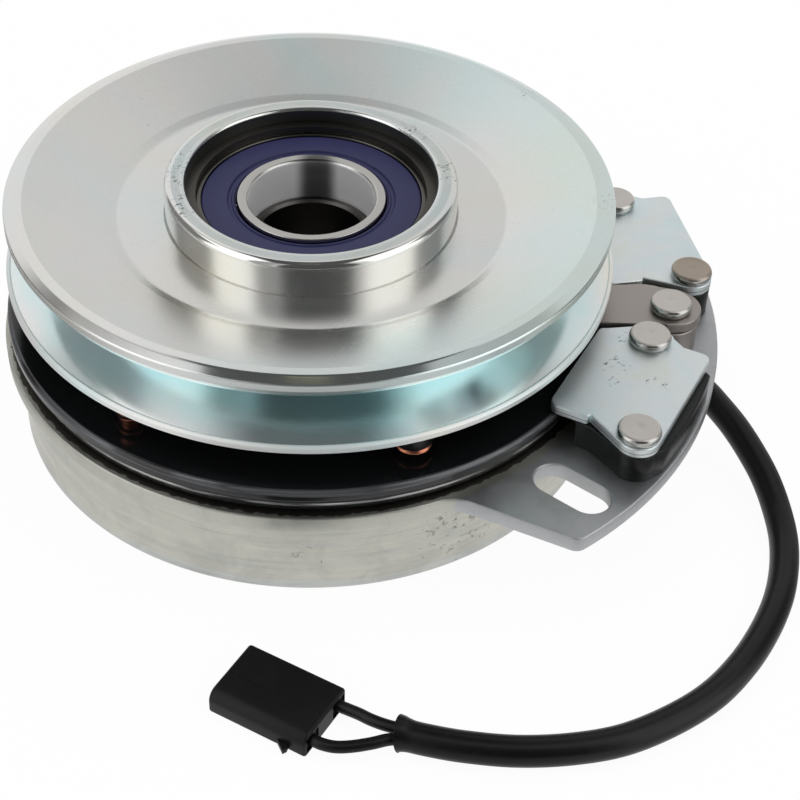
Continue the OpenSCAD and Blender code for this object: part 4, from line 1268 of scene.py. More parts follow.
@dataclass
class Studio:
    """Camera, lamps, surroundings and floor.

    Attributes:
        eye: The camera's place, in metres.
        right: The camera's right, as a unit vector.
        up: The camera's up.
        ahead: The camera's line of sight.
        lens: Focal length on a 36 mm sensor.
        light_level: Strength of the surroundings' plain light.
        metal_level: Brightness of the surroundings between the panels, as metal shows it.
        floor_half: Half the floor's side, in metres.
        floor_glow: How much of the floor's look is plain white.
        floor_dims: How much dimmer metal shows the floor: everywhere, before the bench's
            object, and on both sides of it.
        cards: Cards that polished metal shows.
        panels: Panels that polished metal shows, each over the ones before it.
    """

    eye: Vec3 = (0.0226, -0.3581, 0.3094)
    right: Vec3 = (0.99935, 0.02376, 0.02713)
    up: Vec3 = (-0.03607, 0.65841, 0.75179)
    ahead: Vec3 = (0.0, 0.75228, -0.65884)
    lens: float = 82.89
    light_level: float = 0.62
    metal_level: float = 0.76
    floor_half: float = 2.5
    floor_glow: float = 0.95
    floor_dims: Vec3 = (0.12, 0.32, 0.57)
    cards: tuple[Card, ...] = (
        Card("card_over", (-0.071, -0.125), (0.079, 0.076), 0.25, (0.003, 0.002)),
        Card("card_slit", (-0.012, -0.042), (0.011, -0.039), 0.249, (0.004, 0.002),
             (0.95, 0.9, 0.55)),
        Card("card_front", (-0.014, -0.090), (0.022, -0.077), 0.03, (0.034, 0.005),
             (0.15, 0.15, 0.15)),
    )
    panels: tuple[Panel, ...] = (
        Panel(90, 75, 63, 95, 0.52, 20),
        Panel(120, 16, 2, 56, 0.90, 10),
        Panel(-123, 6, 4, 62, 0.40, 5),
        Panel(-82, 27, 4, 64, 0.08, 5),
        Panel(-151, 15, 4, 62, 1.55, 6),
        Panel(164, 20, 4, 46, 0.22, 8),
        Panel(-22, 18, 4, 62, 1.55, 7),
        Panel(21, 13, 4, 46, 0.18, 8),
        Panel(145, 8, 52, 62, 0.48, 6),
        Panel(43, 8, 52, 62, 0.48, 6),
        Panel(-180, 24, 48, 72, 1.4, 8),
        Panel(2, 22, 48, 72, 1.4, 8),
    )

    def build_camera(self) -> None:
        """Sets up the camera."""
        lens = bpy.data.cameras.new("studio_camera")
        lens.lens = self.lens
        lens.sensor_width = 36.0
        lens.clip_start = 0.01
        camera = bpy.data.objects.new("studio_camera", lens)
        back = [-c for c in self.ahead]
        rows = zip(self.right, self.up, back, self.eye)
        camera.matrix_world = Matrix((*[tuple(row) for row in rows], (0, 0, 0, 1)))
        bpy.context.scene.collection.objects.link(camera)
        bpy.context.scene.camera = camera

    def build_lamps(self) -> None:
        """Hangs three soft lamps, which light the bench; metal shows the panels instead."""
        for name, place, size, power in (
            ("lamp_over", (0.05, 0.2, 1.25), 1.5, 5.5),
            ("lamp_left", (-0.95, -0.45, 0.85), 0.8, 2.6),
            ("lamp_right", (0.95, -0.35, 0.8), 0.8, 2.2),
        ):
            lamp = bpy.data.lights.new(name, "AREA")
            lamp.size = size
            lamp.energy = power
            hung = bpy.data.objects.new(name, lamp)
            hung.location = place
            look = Vector((0.0, 0.0, 0.03)) - hung.location
            hung.rotation_euler = look.to_track_quat("-Z", "Y").to_euler()
            hung.visible_glossy = False
            bpy.context.scene.collection.objects.link(hung)

    def build_surroundings(self) -> None:
        """Makes the white background, and the panels that metal shows."""
        world = bpy.data.worlds.new("studio")
        world.use_nodes = True
        bpy.context.scene.world = world
        graph = Graph(world.node_tree)
        x, y, z = graph.parts(graph.node("ShaderNodeTexCoord").outputs["Generated"])
        level: Term | float = self.metal_level
        height = graph.maths("ARCSINE", z) * (180.0 / math.pi)
        for panel in self.panels:
            turn = math.radians(panel.azimuth)
            along = x * math.cos(turn) + y * math.sin(turn)
            across = y * math.cos(turn) - x * math.sin(turn)
            apart = abs(graph.maths("ARCTAN2", across, along)) * (180.0 / math.pi)
            mask = apart.span(panel.half, panel.half + panel.soft, 1.0, 0.0)
            mask = mask * height.band(panel.low, panel.high, 8.0)
            level = level + mask * (panel.level - level)
        seen = graph.rays("Camera", "Transmission")
        glossy = graph.rays("Glossy") * (1.0 - seen)
        plain = (1.0 - seen) * (1.0 - glossy) * self.light_level
        strength = seen + glossy * level + plain
        sky = graph.node("ShaderNodeBackground", {0: (1.0, 1.0, 1.0), 1: strength})
        graph.node("ShaderNodeOutputWorld", {0: sky.outputs[0]})

    @staticmethod
    def lay(name: str, spots: Sequence[Vec3]) -> tuple[bpy.types.Object, Graph]:
        """Lays a flat sheet with an empty material.

        Args:
            name: Its name.
            spots: Its four corners, in metres.

        Returns:
            The sheet and its material's graph.
        """
        mesh = bpy.data.meshes.new(name)
        mesh.from_pydata(spots, [], [(0, 1, 2, 3)])
        made, graph = new_material(name)
        mesh.materials.append(made)
        sheet = add_object(name, mesh)
        sheet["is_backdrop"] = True
        return sheet, graph

    def build_floor(self) -> None:
        """Lays the white floor, which keeps the shadow and shows dimmer in metal."""
        half = self.floor_half
        _, graph = self.lay("studio_floor", [
            (-half, -half, 0), (half, -half, 0), (half, half, 0), (-half, half, 0),
        ])
        all_over, before, beside = self.floor_dims
        x, y, _ = graph.parts(graph.place())
        front = x.band(-0.04, 0.045, 0.03) * y.span(-0.105, -0.145) * before
        sides = abs(x - 0.01).band(0.12, 0.26, 0.022) * y.band(-0.07, 0.07, 0.04) * beside
        level = 1.0 - graph.rays("Glossy") * (graph.most(front, sides) + all_over)
        paper = graph.node("ShaderNodeBsdfDiffuse", {0: (0.93, 0.93, 0.93)})
        glow = graph.node("ShaderNodeEmission", {0: (1.0, 1.0, 1.0), 1: level})
        seen = graph.rays("Camera", "Glossy", "Transmission")
        graph.end_mixed(seen * self.floor_glow, paper, glow)

    def build_card(self, card: Card) -> None:
        """Hangs a card that only polished metal shows."""
        (x0, y0), (x1, y1), (wide, deep), z = card.low, card.high, card.fade, card.height
        left, right, near, far = x0 - wide, x1 + wide, y0 - deep, y1 + deep
        hung, graph = self.lay(card.name, [
            (left, near, z), (left, far, z), (right, far, z), (right, near, z),
        ])
        for ray in ("camera", "diffuse", "transmission", "volume_scatter", "shadow"):
            setattr(hung, f"visible_{ray}", False)
        x, y, _ = graph.parts(graph.place())
        clear = graph.node("ShaderNodeBsdfTransparent")
        glow = graph.node("ShaderNodeEmission", {0: card.tone, 1: 1.0})
        graph.end_mixed(x.band(x0, x1, wide) * y.band(y0, y1, deep), clear, glow)

    def build(self) -> None:
        """Builds the whole studio."""
        bpy.context.scene.view_settings.view_transform = "Standard"
        self.build_camera()
        self.build_lamps()
        self.build_surroundings()
        self.build_floor()
        for card in self.cards:
            self.build_card(card)


# ---------------------------------------------------------------- lead


def smooth_route(route: Sequence[Vec3], steps: int = 8) -> list[Vec3]:
    """Draws a smooth line through the points of a route.

    Args:
        route: The points.
        steps: Straight steps from one point to the next.

    Returns:
        The line's points.
    """
    spots = [Vector(p) for p in route]
    spots = [2 * spots[0] - spots[1], *spots, 2 * spots[-1] - spots[-2]]
    line: list[Vec3] = []
    for a, b, c, d in zip(spots, spots[1:], spots[2:], spots[3:]):
        for i in range(steps):
            t = i / steps
            line.append(tuple(
                0.5 * (2 * b + (c - a) * t + (2 * a - 5 * b + 4 * c - d) * t**2
                       + (3 * b - a - 3 * c + d) * t**3)
            ))
    return [*line, tuple(spots[-2])]


@dataclass
class Lead:
    """The lead: grommet, sleeve, two wires and the connector.

    Attributes:
        shop: The workshop.
        sleeve_route: Points along the sleeve's middle.
        wire_a_route: Points along the first wire's middle.
        wire_b_route: Points along the second wire's middle.
        sleeve_r: Outer radius of the sleeve.
        bore_r: Inner radius of its open end.
        wire_r: Radius of a wire.
        exit_angle: Direction in which the lead leaves the shell, in degrees.
        exit_z: Height at which it leaves.
        plug_centre: Middle of the connector.
        plug_turn: Direction in which its wire end points, in degrees.
        plug_len: Length of the connector.
        plug_w: Its width.
        plug_t: Its thickness.
        wire_pitch: Distance between the ports of its wires.
        cell_v: Distance of a cell's middle from the connector's middle line.
    """

    shop: Workshop
    sleeve_route: tuple[Vec3, ...] = (
        (75.6, -2.6, 14), (79, -2.7, 14), (83, -3.2, 14), (87, -4.5, 14), (91, -6.6, 14),
        (94.6, -9.5, 13.9), (97.7, -13, 13.5), (100.7, -17.6, 12.7), (104.2, -23.2, 11.4),
        (107.6, -29.5, 9.4), (110.6, -36.5, 7.2), (112.6, -44.5, 5), (113.3, -53.5, 3.8),
        (112.2, -63, 3.5), (109.7, -72.4, 3.5), (105.4, -82.2, 3.5), (99.5, -92.0, 3.5),
        (92.0, -101.0, 3.5), (82.8, -108.2, 3.5), (72, -114, 3.5), (61, -116.9, 3.5),
        (49.5, -118, 3.5), (38.5, -117.3, 3.5), (30.5, -115.9, 3.5), (24.8, -114.4, 3.5),
    )
    wire_a_route: tuple[Vec3, ...] = (
        (27.5, -114.2, 3.7), (24.4, -113.1, 3.5), (21.4, -112.1, 3.4), (18.6, -110.8, 3.3),
        (16.4, -109.4, 3.1), (14.2, -108.3, 3), (12, -107.3, 3), (9.4, -106, 3),
    )
    wire_b_route: tuple[Vec3, ...] = (
        (27.5, -116.2, 3.3), (23.4, -116.0, 3.4), (19.2, -117.2, 3.3), (15.2, -118.0, 3.1),
        (11.8, -118.2, 3), (9.0, -117.6, 3), (7, -116.6, 3), (4.4, -115.2, 3),
    )
    sleeve_r: float = 3.4
    bore_r: float = 2.75
    wire_r: float = 1.35
    exit_angle: float = -2.0
    exit_z: float = 14.0
    plug_centre: Vec2 = (-1.2, -106.2)
    plug_turn: float = -28.5
    plug_len: float = 24.3
    plug_w: float = 16.5
    plug_t: float = 6.0
    wire_pitch: float = 10.4
    cell_v: float = 3.825

    def build_sleeve(self) -> tuple[bpy.types.Object, list[Vec3]]:
        """Sweeps the sleeve as a tube whose far end is open and a little flared.

        Returns:
            The sleeve and the line that it follows.
        """
        line = smooth_route(self.sleeve_route)
        sides, last = 32, len(line) - 1
        rows: list[tuple[int, float, float]] = [(i, self.sleeve_r, 0.0) for i in range(last - 5)]
        rows += [(last - 5 + i, self.sleeve_r + 0.03 * i**2, 0.0) for i in range(5)]
        rows += [(last, self.sleeve_r + 0.62, 1.0), (last, self.sleeve_r + 0.3, 1.15)]
        rows += [(last, self.bore_r, 1.0), (last - 8, self.bore_r, 0.0)]
        bm = bmesh.new()
        rings = []
        for i, radius, cut_share in rows:
            here = Vector(line[i])
            ahead = Vector(line[min(i + 1, last)]) - Vector(line[max(i - 1, 0)])
            ahead.normalize()
            side = Vector((0, 0, 1)).cross(ahead).normalized()
            above = ahead.cross(side)
            ring = []
            for k in range(sides):
                turn = math.tau * k / sides
                spot = here + radius * (math.cos(turn) * side + math.sin(turn) * above)
                spot += ahead * cut_share * (0.9 * math.sin(turn) - 0.2)
                spot.z = max(spot.z, 0.05)
                ring.append(bm.verts.new(spot * MM))
            rings.append(ring)
        for a, b in zip(rings, rings[1:]):
            for k in range(sides):
                j = (k + 1) % sides
                bm.faces.new((a[k], a[j], b[j], b[k]))
        bm.faces.new(rings[0])
        bm.faces.new(rings[-1])
        bmesh.ops.recalc_face_normals(bm, faces=bm.faces)
        return from_bmesh("sleeve", bm, math.radians(50)), line

    def build_grommet(self) -> bpy.types.Object:
        """Builds the ribbed grommet where the lead leaves the shell."""
        profile: list[Vec2] = [(0, 67.5), (3.9, 67.5), (4.2, 67.9), (4.2, 71.6), (5.2, 71.6),
                               (5.4, 71.8), (5.4, 73.3), (5.1, 73.6), (4.5, 73.6)]
        for i in range(3):
            start = 73.7 + 1.2 * i
            wide = 4.4 - 0.16 * i
            profile += [(wide - 0.35, start), (wide, start + 0.3), (wide, start + 0.8),
                        (wide - 0.35, start + 1.1)]
        profile += [(3.45, 77.4), (3.4, 77.4), (0, 77.4)]
        made = spun("grommet", profile, 40)
        swing = Matrix.Rotation(math.radians(self.exit_angle), 4, "Z")
        lift = Matrix.Translation((0, 0, self.exit_z * MM))
        made.data.transform(swing @ lift @ Matrix.Rotation(math.pi / 2, 4, "Y"))
        return made

    def in_plug(self, obj: bpy.types.Object) -> bpy.types.Object:
        """Puts a shape made about the connector's middle in its place."""
        move = Matrix.Translation((self.plug_centre[0] * MM, self.plug_centre[1] * MM, 0))
        obj.data.transform(move @ Matrix.Rotation(math.radians(self.plug_turn), 4, "Z"))
        return obj

    def box(self, low: Vec3, high: Vec3, edge: float, corner: float) -> bpy.types.Object:
        """Builds a block with rounded corners in the connector's own axes."""
        x0, y0, z0 = low
        x1, y1, z1 = high
        corners = [(x0, y0, corner), (x1, y0, corner), (x1, y1, corner), (x0, y1, corner)]
        return slab("block", rounded(corners, 5), z0, z1, edge, edge)

    def build_housing(self) -> bpy.types.Object:
        """Moulds the connector's housing with its two cells, wire ports and latch."""
        half, side, top = self.plug_len / 2, self.plug_w / 2, self.plug_t
        section = rounded([
            (-side, 0, 0.8), (side, 0, 0.8), (side, top, 0.9), (-side, top, 3.4),
        ], 8)
        body = slab("connector", section, -half, half, 0.7, 0.7)
        body.data.transform(Matrix(((0, 0, 1, 0), (1, 0, 0, 0), (0, 1, 0, 0), (0, 0, 0, 1))))
        latch = slab("latch", [(4.4, 0.6 - side), (4.9, 0.1 - side), (7.9, -2.1 - side),
                               (8.4, -1.2 - side), (8.0, 0.6 - side)], 0.9, 2.2, 0.2, 0.2)
        tools = [self.box((-half - 1, -1.1, top - 0.12), (half + 1, -0.8, top + 1), 0.05, 0.1)]
        for hand in (-1, 1):
            cell, port = hand * self.cell_v, hand * self.wire_pitch / 2
            tools += [
                self.box((-half - 2, cell - 3.2, 1.0), (half - 6, cell + 3.2, 5.0), 0.2, 0.3),
                self.box((half - 0.7, port - 2.3, 0.9), (half + 2, port + 2.3, 5.0), 0.3, 0.3),
            ]
        cut(body, [latch], "UNION")
        return self.in_plug(cut(body, tools))

    def build(self) -> None:
        shop = self.shop
        sleeve, line = self.build_sleeve()
        shop.mount(sleeve, "sleeve", "field", "lead_sleeve")
        for name, route, node in (
            ("wire_a", self.wire_a_route, "lead_wire_a"),
            ("wire_b", self.wire_b_route, "lead_wire_b"),
        ):
            wire = shop.piped(name, "wire", smooth_route(route, 6), self.wire_r)
            shop.mount(wire, "wire", "field", node)
        for made, finish, node in (
            (self.build_grommet(), "grommet_rubber", "cable_grommet"),
            (self.build_housing(), "connector", "connector_housing"),
        ):
            shop.mount(made, finish, "field", node)
        tuple(c * MM for c in line[0])
        [tuple(c * MM for c in spot) for spot in line]


# ---------------------------------------------------------------- field


@dataclass
class Field:
    """The field shell and its flange with the ear.

    Attributes:
        shop: The workshop.
        pole_r: Outer radius of the inner pole.
        shell_r: Outer radius of the shell's wall.
        inner_r: Inner radius of its wall.
        floor_t: Thickness of its floor.
        rim_z: Height of the flange's underside.
        top_z: Height of its upper face.
        rim_r: Radius of the round rim.
        ear_r: Radius of the ear's edge.
        ear_angles: Directions of the ear's corners, at the slot and at the far side.
        lean: How far its straight sides lean from the radial direction.
        corner_r: Radius of its corners.
        fillet_r: Radius of the fillets at the rim.
        slot_size: Length and width of the slot.
        slot_place: Distance and direction of the slot's middle.
        slot_turn: Direction in which the slot runs.
    """

    shop: Workshop
    pole_r: float = 38.0
    shell_r: float = 71.9
    inner_r: float = 68.4
    floor_t: float = 4.0
    rim_z: float = 21.6
    top_z: float = 25.6
    rim_r: float = 74.7
    ear_r: float = 100.0
    ear_angles: Vec2 = (-51.3, 27.0)
    lean: float = 27.0
    corner_r: float = 3.0
    fillet_r: float = 9.0
    slot_size: Vec2 = (19.0, 9.5)
    slot_place: Vec2 = (87.25, -45.1)
    slot_turn: float = -37.5

    def build_cup(self) -> None:
        """Turns the drawn cup with the concave fillet under its rim."""
        under, lip = self.rim_z - 0.05, self.rim_r - 0.4
        nodes = "field_shell", "field_floor"
        self.shop.mount_turned("shell_cup", "raw_steel", "field", nodes, [
            (self.pole_r, 0, 0), (self.shell_r, 0, 1.6), (self.shell_r, under, 1.9),
            (lip, under, 0), (lip, self.rim_z + 1, 0), (self.inner_r, self.rim_z + 1, 0),
            (self.inner_r, self.floor_t, 1.0), (self.pole_r, self.floor_t, 0),
        ])

    def ear_side(self, side: int) -> list[Vec2]:
        """Draws one side of the ear, from the rim out to the ear's edge.

        Args:
            side: -1 for the side by the slot, 1 for the far one.

        Returns:
            The fillet's points and the corner's points.
        """
        angle = self.ear_angles[0 if side < 0 else 1]
        tip = Vector(on_circle(AXIS, self.ear_r, angle))
        inward = Vector(on_circle(AXIS, 1.0, angle + side * (180 - self.lean)))
        outward = side * Vector((inward.y, -inward.x))

        def centre(off: float, reach: float) -> Vector:
            """Finds a circle's centre beside the line, at a distance from the axis."""
            base = tip + off * outward
            foot = base - base.dot(inward) * inward
            return foot - math.sqrt(reach**2 - foot.length_squared) * inward

        corner = centre(-self.corner_r, self.ear_r - self.corner_r)
        fillet = centre(self.fillet_r, self.rim_r + self.fillet_r)
        rim_end = fillet * (self.rim_r / fillet.length)
        edge_end = corner * (self.ear_r / corner.length)
        fillet_end = fillet - self.fillet_r * outward
        corner_start = corner + self.corner_r * outward
        return [
            *short_arc(tuple(fillet), tuple(rim_end), tuple(fillet_end), 14),
            *short_arc(tuple(corner), tuple(corner_start), tuple(edge_end), 8),
        ]

    def build_flange(self) -> bpy.types.Object:
        """Cuts the flange with its ear and slot from plate."""
        near, far = self.ear_side(-1), self.ear_side(1)[::-1]
        edge = short_arc(AXIS, near[-1], far[0], 40)[1:-1]
        start = math.degrees(math.atan2(far[-1][1], far[-1][0]))
        end = math.degrees(math.atan2(near[0][1], near[0][0])) + 360.0
        rim = arc(AXIS, self.rim_r, start, end, 180)[1:-1]
        middle = on_circle(AXIS, *self.slot_place)
        hole = turned_about(stadium(*self.slot_size), self.slot_turn, middle)
        return slab(
            "shell_flange", near + edge + far + rim, self.rim_z, self.top_z, 0.35, 0.4,
            [ring(self.inner_r, 160, hole=True), hole],
        )

    def build(self) -> None:
        """Builds the shell."""
        self.build_cup()
        self.shop.mount(self.build_flange(), "raw_steel.flange", "field", "field_flange")


@dataclass
class Brake:
    """The brake: two plates on magnet holders, the strap between them and their rivets.

    Attributes:
        shop: The workshop.
        angles: Directions of the near and the far plate.
        plate_z: Height of the plates' underside.
        plate_t: Their thickness.
        base_z: Height on which the holders stand.
        reaches: Distances of the near and the far holder's outer edge from the axis.
        back_r: Distance of the holders' inner edge from the axis.
        rivet_places: Each plate's inner and outer rivet, in the plate's own axes.
        strap_angle: Direction of the strap.
        strap_rivet: The strap's rivet in its own axes.
        dishes: Depth of the hollow in most rivets' heads, and in the far outer one's.
    """

    shop: Workshop
    angles: Vec2 = (-25.5, 13.2)
    plate_z: float = 32.7
    plate_t: float = 2.8
    base_z: float = 25.6
    reaches: Vec2 = (99.2, 97.4)
    back_r: float = 78.6
    rivet_places: tuple[Vec2, Vec2] = ((82.0, 16.0), (91.8, -16.2))
    strap_angle: float = -6.0
    strap_rivet: Vec2 = (87.3, 1.0)
    dishes: Vec2 = (0.04, 0.2)

    def plate_outline(self) -> list[Vec2]:
        """Draws a brake plate in its own axes."""
        inner, outer = self.rivet_places
        return [
            *arc((72.3, -13.6), 2.5, 180, 268, 8),
            (79.2, -16.1), (79.5, -15.9), (79.7, -15.3), (79.9, -15.1),
            *arc(outer, 5.1, 232, 360, 14),
            *arc((94.8, 15.4), 2.2, 0, 88, 8),
            (90, 17.6),
            *arc(inner, 6.1, 35, 108, 9),
            *arc((71.3, 14.0), 1.5, 100, 180, 6),
        ]

    def holder_outline(self, reach: float) -> list[Vec2]:
        """Draws a magnet holder in its plate's axes.

        Args:
            reach: Distance of its outer edge from the axis.

        Returns:
            The outline.
        """
        inner, outer = self.rivet_places

        def edge(radius: float, start: float, end: float) -> list[Vec2]:
            """Draws an arc about the axis, between two distances from the middle line."""
            angles = (math.degrees(math.asin(across / radius)) for across in (start, end))
            return arc(AXIS, radius, *angles, 12)

        return [
            *edge(self.back_r, 17.0, -16.1), (80.3, -16.1), *arc(outer, 5.0, 232, 350, 14),
            *edge(reach, -15.0, 14.2), (min(96.6, reach - 2.0), 15.2), (94.6, 16.6),
            (92.0, 17.0), (88.4, 17.4), *arc(inner, 5.0, 25, 155, 12),
        ]

    def strap_outline(self) -> list[Vec2]:
        """Draws the strap in its own axes."""
        u = self.strap_rivet[0]
        return [
            (69.8, -7.6),
            *rounded([(u - 8.7, -6.4, 3), (u - 3.3, -5.2, 3), (u + 1.5, -5.6, 2)], 4)[:-1],
            *arc((u + 0.2, 1.6), 7.2, -62, 92, 22),
            *rounded([(u - 1, 9.1, 2), (u - 6.3, 9.6, 3), (u - 14.3, 8.4, 4)], 4),
            (69.8, 7.6),
        ]

    def rivet(self, dish: float) -> bpy.types.Object:
        """Turns a rivet with a flat head, whose side bulges, and a flat tail.

        Args:
            dish: Depth of the hollow in its head.

        Returns:
            The rivet, standing on the axis.
        """
        seat = self.plate_z + self.plate_t
        rim = seat + 2.32
        profile: list[Vec2] = [(0, 19.6), (3.4, 19.6), (3.9, 20.1), (3.9, 21.6), (2.5, 21.6),
                               (2.5, seat), (4.45, seat), (4.7, seat + 0.3)]
        profile += [(3.45 + x, seat + 1.1 + y) for x, y in arc(AXIS, 1.6, -28, 38, 8)]
        profile += [(4.55, seat + 2.22), (4.35, seat + 2.3), (4.05, rim),
                    (3.7, rim - 0.8 * dish), (2.6, rim - dish), (0.9, rim - dish),
                    (0.6, seat + 2.24 - dish), (0, seat + 2.22 - dish)]
        return spun("rivet_pattern", profile, 56)

    def build(self) -> None:
        """Builds the brake."""
        shop, top = self.shop, self.plate_z + self.plate_t
        places: list[Vec3] = []
        for name, angle, reach in zip(("near", "far"), self.angles, self.reaches):
            plate = slab(f"{name}_plate", turned_about(self.plate_outline(), angle),
                         self.plate_z, top, 0.35, 0.7)
            shop.mount(plate, "zinc", "field", f"{name}_brake_plate")
            holder = slab(f"{name}_holder", turned_about(self.holder_outline(reach), angle),
                          self.base_z, self.plate_z, 0.35, 0.35)
            shop.mount(holder, "magnet_plastic", "field", f"{name}_magnet_holder")
            places += [(x, y, 0.0) for x, y in turned_about(self.rivet_places, angle)]
        stamp, (plain, deep) = shop.mount_stamped, self.dishes
        stamp("plate_rivets", "nickel_rivet", "field", "brake_rivets", self.rivet(plain),
              places[:3])
        stamp("far_outer_rivet", "nickel_rivet.aged", "field", "brake_rivets",
              self.rivet(deep), places[3:])
        strap = slab("strap", turned_about(self.strap_outline(), self.strap_angle),
                     self.plate_z, top, 0.3, 0.5)
        shop.mount(strap, "strap_steel", "field", "centre_strap")
        (x, y), = turned_about([self.strap_rivet], self.strap_angle)
        spacer = slab("spacer", ring(7.0, 48, (x, y)), self.base_z, self.plate_z, 0.3, 0.12,
                      [ring(2.5, 24, (x, y), hole=True)])
        shop.mount(spacer, "strap_steel", "field", "strap_spacer")
        stamp("strap_pin", "nickel_rivet", "field", "strap_rivet", self.rivet(plain),
              [(x, y, 0.0)])


# ---------------------------------------------------------------- rotor and armature


@dataclass
class Discs:
    """The rotor's disc and the armature above it, with the copper rivets.

    Attributes:
        shop: The workshop.
        rotor_z: Heights of the rotor's faces.
        rotor_r: The rotor's outer radius.
        armature_z: Heights of the armature's faces.
        armature_r: The armature's outer radius.
        spring_r: Distance of the spring rivets from the axis.
        spring_angle: Direction of the first drive rivet.
        collar_top: Height at which the springs' collars end.
        collar_bore: Radius of their bore.
    """

    shop: Workshop
    rotor_z: Vec2 = (26.0, 28.9)
    rotor_r: float = 72.3
    armature_z: Vec2 = (29.35, 32.45)
    armature_r: float = 73.6
    spring_r: float = 63.6
    spring_angle: float = -66.0
    collar_top: float = 34.96
    collar_bore: float = 2.0

    def around(self, shift: float) -> list[Vec3]:
        """Gives the three places of a rivet set, turned by shift from the first."""
        return [
            (*on_circle(AXIS, self.spring_r, self.spring_angle + shift + 120 * i), 0.0)
            for i in range(3)
        ]

    def build_rotor(self) -> bpy.types.Object:
        """Turns the rotor's disc and cuts its flux slots."""
        low, top = self.rotor_z
        disc = self.shop.turned("rotor_plate", "black_steel.rotor", [
            (20, low, 0), (self.rotor_r, low, 0.6), (self.rotor_r, top, 0.7),
            (60.75, top, 0), (60.75, top - 1.5, 0), (54.75, top - 1.5, 0), (54.75, top, 0),
            (20, top, 0),
        ])
        tools = [
            slab("slot", kidney(radius, 1.2, 60.0 * i + shift, 21.6), low - 1, top + 1,
                 0.05, 0.05, steps=1)
            for radius, shift in ((51.0, 0.0), (64.5, 30.0)) for i in range(6)
        ]
        return cut(disc, tools)

    def build_armature(self) -> bpy.types.Object:
        """Turns the armature and sinks the spots under the drive rivets."""
        low, top = self.armature_z
        disc = self.shop.turned("armature_plate", "black_steel.armature", [
            (46, low, 0.3), (self.armature_r, low, 0.8), (self.armature_r, top, 1.0),
            (46, top, 0.3),
        ])
        tools = [
            slab(name, ring(radius, steps, place[:2]), level, top + 1, 0.1, 0.1, steps=1)
            for name, radius, steps, level, shift in (
                ("spot", 4.7, 40, top - 0.5, 0.0), ("hole", 2.05, 24, low - 1, 60.0),
            )
            for place in self.around(shift)
        ]
        return cut(disc, tools)

    def build_drive_rivet(self) -> bpy.types.Object:
        """Turns a drive rivet, which stands on the axis."""
        return spun("drive_pattern", [
            (0, 33.85), (3.0, 33.85), (3.7, 33.95), (4.05, 34.2), (4.2, 34.55), (4.1, 34.9),
            (3.8, 35.2), (2, 35.2), (2, 38.5), (3.8, 38.5), (3.8, 39.3), (3.2, 39.9),
            (0, 40.0),
        ], 36)

    def build_collar(self) -> bpy.types.Object:
        """Builds a spring's collar, which ends low enough for the armature's rise."""
        bore = ring(self.collar_bore, 20, hole=True)
        collar = slab("collar_pattern", ring(3.3, 36), 33.9, self.collar_top, 0.3, 0.35, [bore])
        foot = slab("foot", ring(2.7, 36), self.armature_z[1], 33.95, 0.1, 0.1, [bore])
        return cut(collar, [foot], "UNION")

    def build(self) -> None:
        """Builds the discs and the copper rivets."""
        shop = self.shop
        shop.mount(self.build_rotor(), "black_steel.rotor", "rotor", "rotor_disc")
        shop.mount(self.build_armature(), "black_steel.armature", "armature", "armature")
        for name, body, node, pattern, shift in (
            ("drive_pins", "pulley", "drive_rivets", self.build_drive_rivet(), 0.0),
            ("armature_collars", "armature", "armature_spacers", self.build_collar(), 60.0),
        ):
            shop.mount_stamped(name, "copper_rivet", body, node, pattern, self.around(shift))


# ---------------------------------------------------------------- pulley


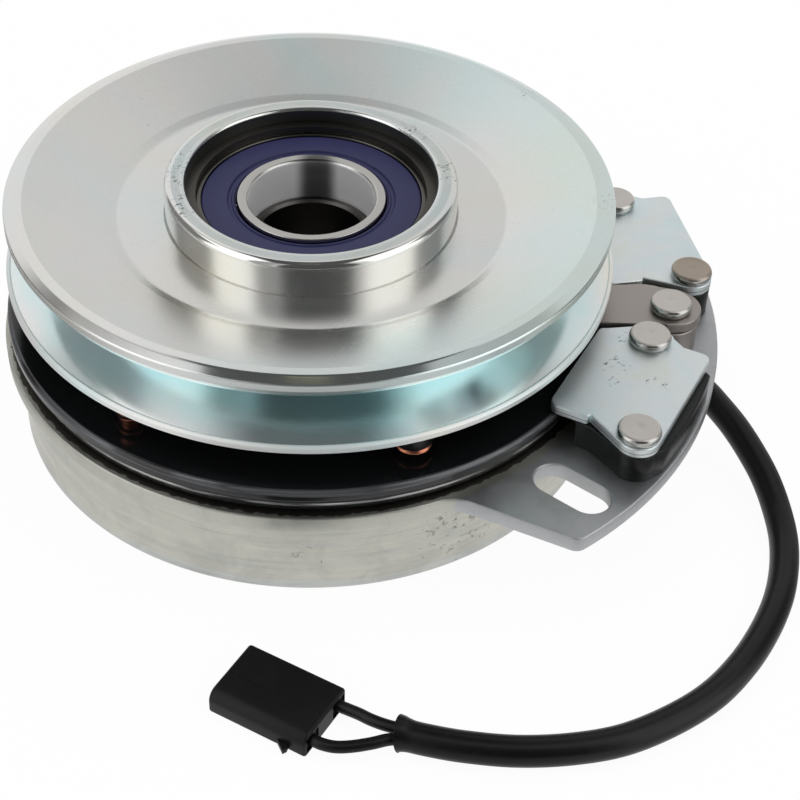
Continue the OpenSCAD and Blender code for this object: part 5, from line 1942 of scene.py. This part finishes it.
@dataclass
class Pulley:
    """The pulley: hub, two flanges, bearing rings and the upper seal.

    Attributes:
        shop: The workshop.
        hub_r: Outer radius of the hub.
        groove_r: Radius of the groove's floor.
        joint_z: Height at which the flanges meet.
        bearing_z: Heights of the bearing's faces.
    """

    shop: Workshop
    hub_r: float = 34.5
    groove_r: float = 57.0
    joint_z: float = 49.4
    bearing_z: Vec2 = (35.8, 58.8)

    def build_flanges(self) -> None:
        """Turns the two pressed flanges."""
        hub, groove, joint = self.hub_r, self.groove_r, self.joint_z
        turn = self.shop.mount_turned
        turn("upper_disc", "zinc.face", "pulley", ("upper_flange",), [
            (hub, joint, 0), (groove, joint, 0), (groove, 52.3, 0.9), (70.4, 57.55, 0.6),
            (71.5, 59.5, 0.4), (71.5, 60.95, 0.12), (71.25, 61.25, 0.2), (69.2, 62.05, 2.2),
            (67.1, 62.2, 0.9), (48.7, 56.5, 3.0), (46.3, 55.5, 3.0),
            (hub + 0.35, 55.5, 0.15), (hub, 55.1, 0),
        ])
        turn("lower_disc", "zinc.groove", "pulley", ("lower_flange",), [
            (hub, 46.4, 0), (groove, 46.4, 2.0), (71.7, 42.45, 0.4), (72.5, 43.0, 0.4),
            (72.5, 44.35, 0.35), (71.75, 44.8, 0.25), (71.4, 44.6, 0.2), (groove, joint, 1.0),
            (hub, joint, 0),
        ])

    def build_hub(self) -> None:
        """Turns the hub with its collar, mouth and ring groove."""
        hub, low, seat = self.hub_r, self.bearing_z[0], self.bearing_z[1] + 0.05
        self.shop.mount_turned("hub_ring", "zinc.hub", "pulley", ("pulley_hub",), [
            (24.9, 34.2, 0.3), (hub, 34.2, 0.5), (hub, 38.5, 0), (38.5, 38.5, 0.4),
            (38.5, 46.4, 0.2), (hub, 46.4, 0), (hub, 64.2, 1.6), (29.6, 64.2, 0.8),
            (29.6, 60.55, 0), (30.8, 60.55, 0), (30.8, seat, 0), (27.5, seat, 0),
            (27.5, low, 0), (24.9, low, 0),
        ])

    def build_bearing(self) -> None:
        """Turns the bearing's rings and its upper seal."""
        low, top = self.bearing_z
        turn = self.shop.mount_turned
        turn("bearing_inner", "bearing_steel", "rotor", ("pulley_bearing_inner_race",), [
            (15, low, 0.7), (17.6, low, 0.3), (17.6, top, 0.3), (15, top, 0.8),
        ])
        turn("bearing_outer", "bearing_steel", "pulley", ("pulley_bearing_outer_race",), [
            (26, low, 0.3), (27.5, low, 0.6), (27.5, top, 0.6), (26, top, 0.3),
            (26, 57.2, 0), (24.2, 57.2, 0), (24.2, 37.4, 0), (26, 37.4, 0),
        ])
        turn("seal_upper", "blue_seal", "pulley", ("upper_bearing_seal",), [
            (17.9, 57.3, 0), (26, 57.3, 0), (26, 58.0, 0.1), (25.7, 58.35, 0.2),
            (19.9, 58.35, 0.3), (19.6, 57.75, 0.1), (18.9, 57.75, 0.1), (18.7, 58.1, 0.1),
            (18.3, 58.1, 0.1), (18.1, 57.8, 0.1), (17.9, 57.8, 0.1),
        ])

    def build(self) -> None:
        """Builds the pulley."""
        self.build_flanges()
        self.build_hub()
        self.build_bearing()


# ---------------------------------------------------------------- whole


def dress_solids() -> None:
    """Gives every solid that stays the finish of its material slot."""
    slots = {part["node"]: part["material_slot"] for part in frame["record"]["subparts"]}
    for name, solid in frame["nodes"].items():
        finish = PALETTE[slots[name]].material()
        if not solid.material_slots:
            solid.data.materials.append(finish)
        for place in solid.material_slots:
            place.material = finish


def write_sizes() -> None:
    """Writes the solids' box and the finished object's box."""
    boxes = {"cad": CAD_BOX, "visual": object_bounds()}
    lists = {key: [[float(c) for c in corner] for corner in box] for key, box in boxes.items()}
    for key, corners in lists.items():
        log.info("%s box: %s", key, corners)


def main() -> None:
    """Builds the studio and the clutch."""
    logging.basicConfig(level=logging.INFO, format="%(name)s: %(message)s")
    Studio().build()
    dress_solids()
    shop = Workshop()
    for assembly in (Lead(shop), Field(shop), Brake(shop), Discs(shop), Pulley(shop)):
        log.info("building %s", type(assembly).__name__)
        assembly.build()
    write_sizes()


if __name__ == "__main__":
    main()
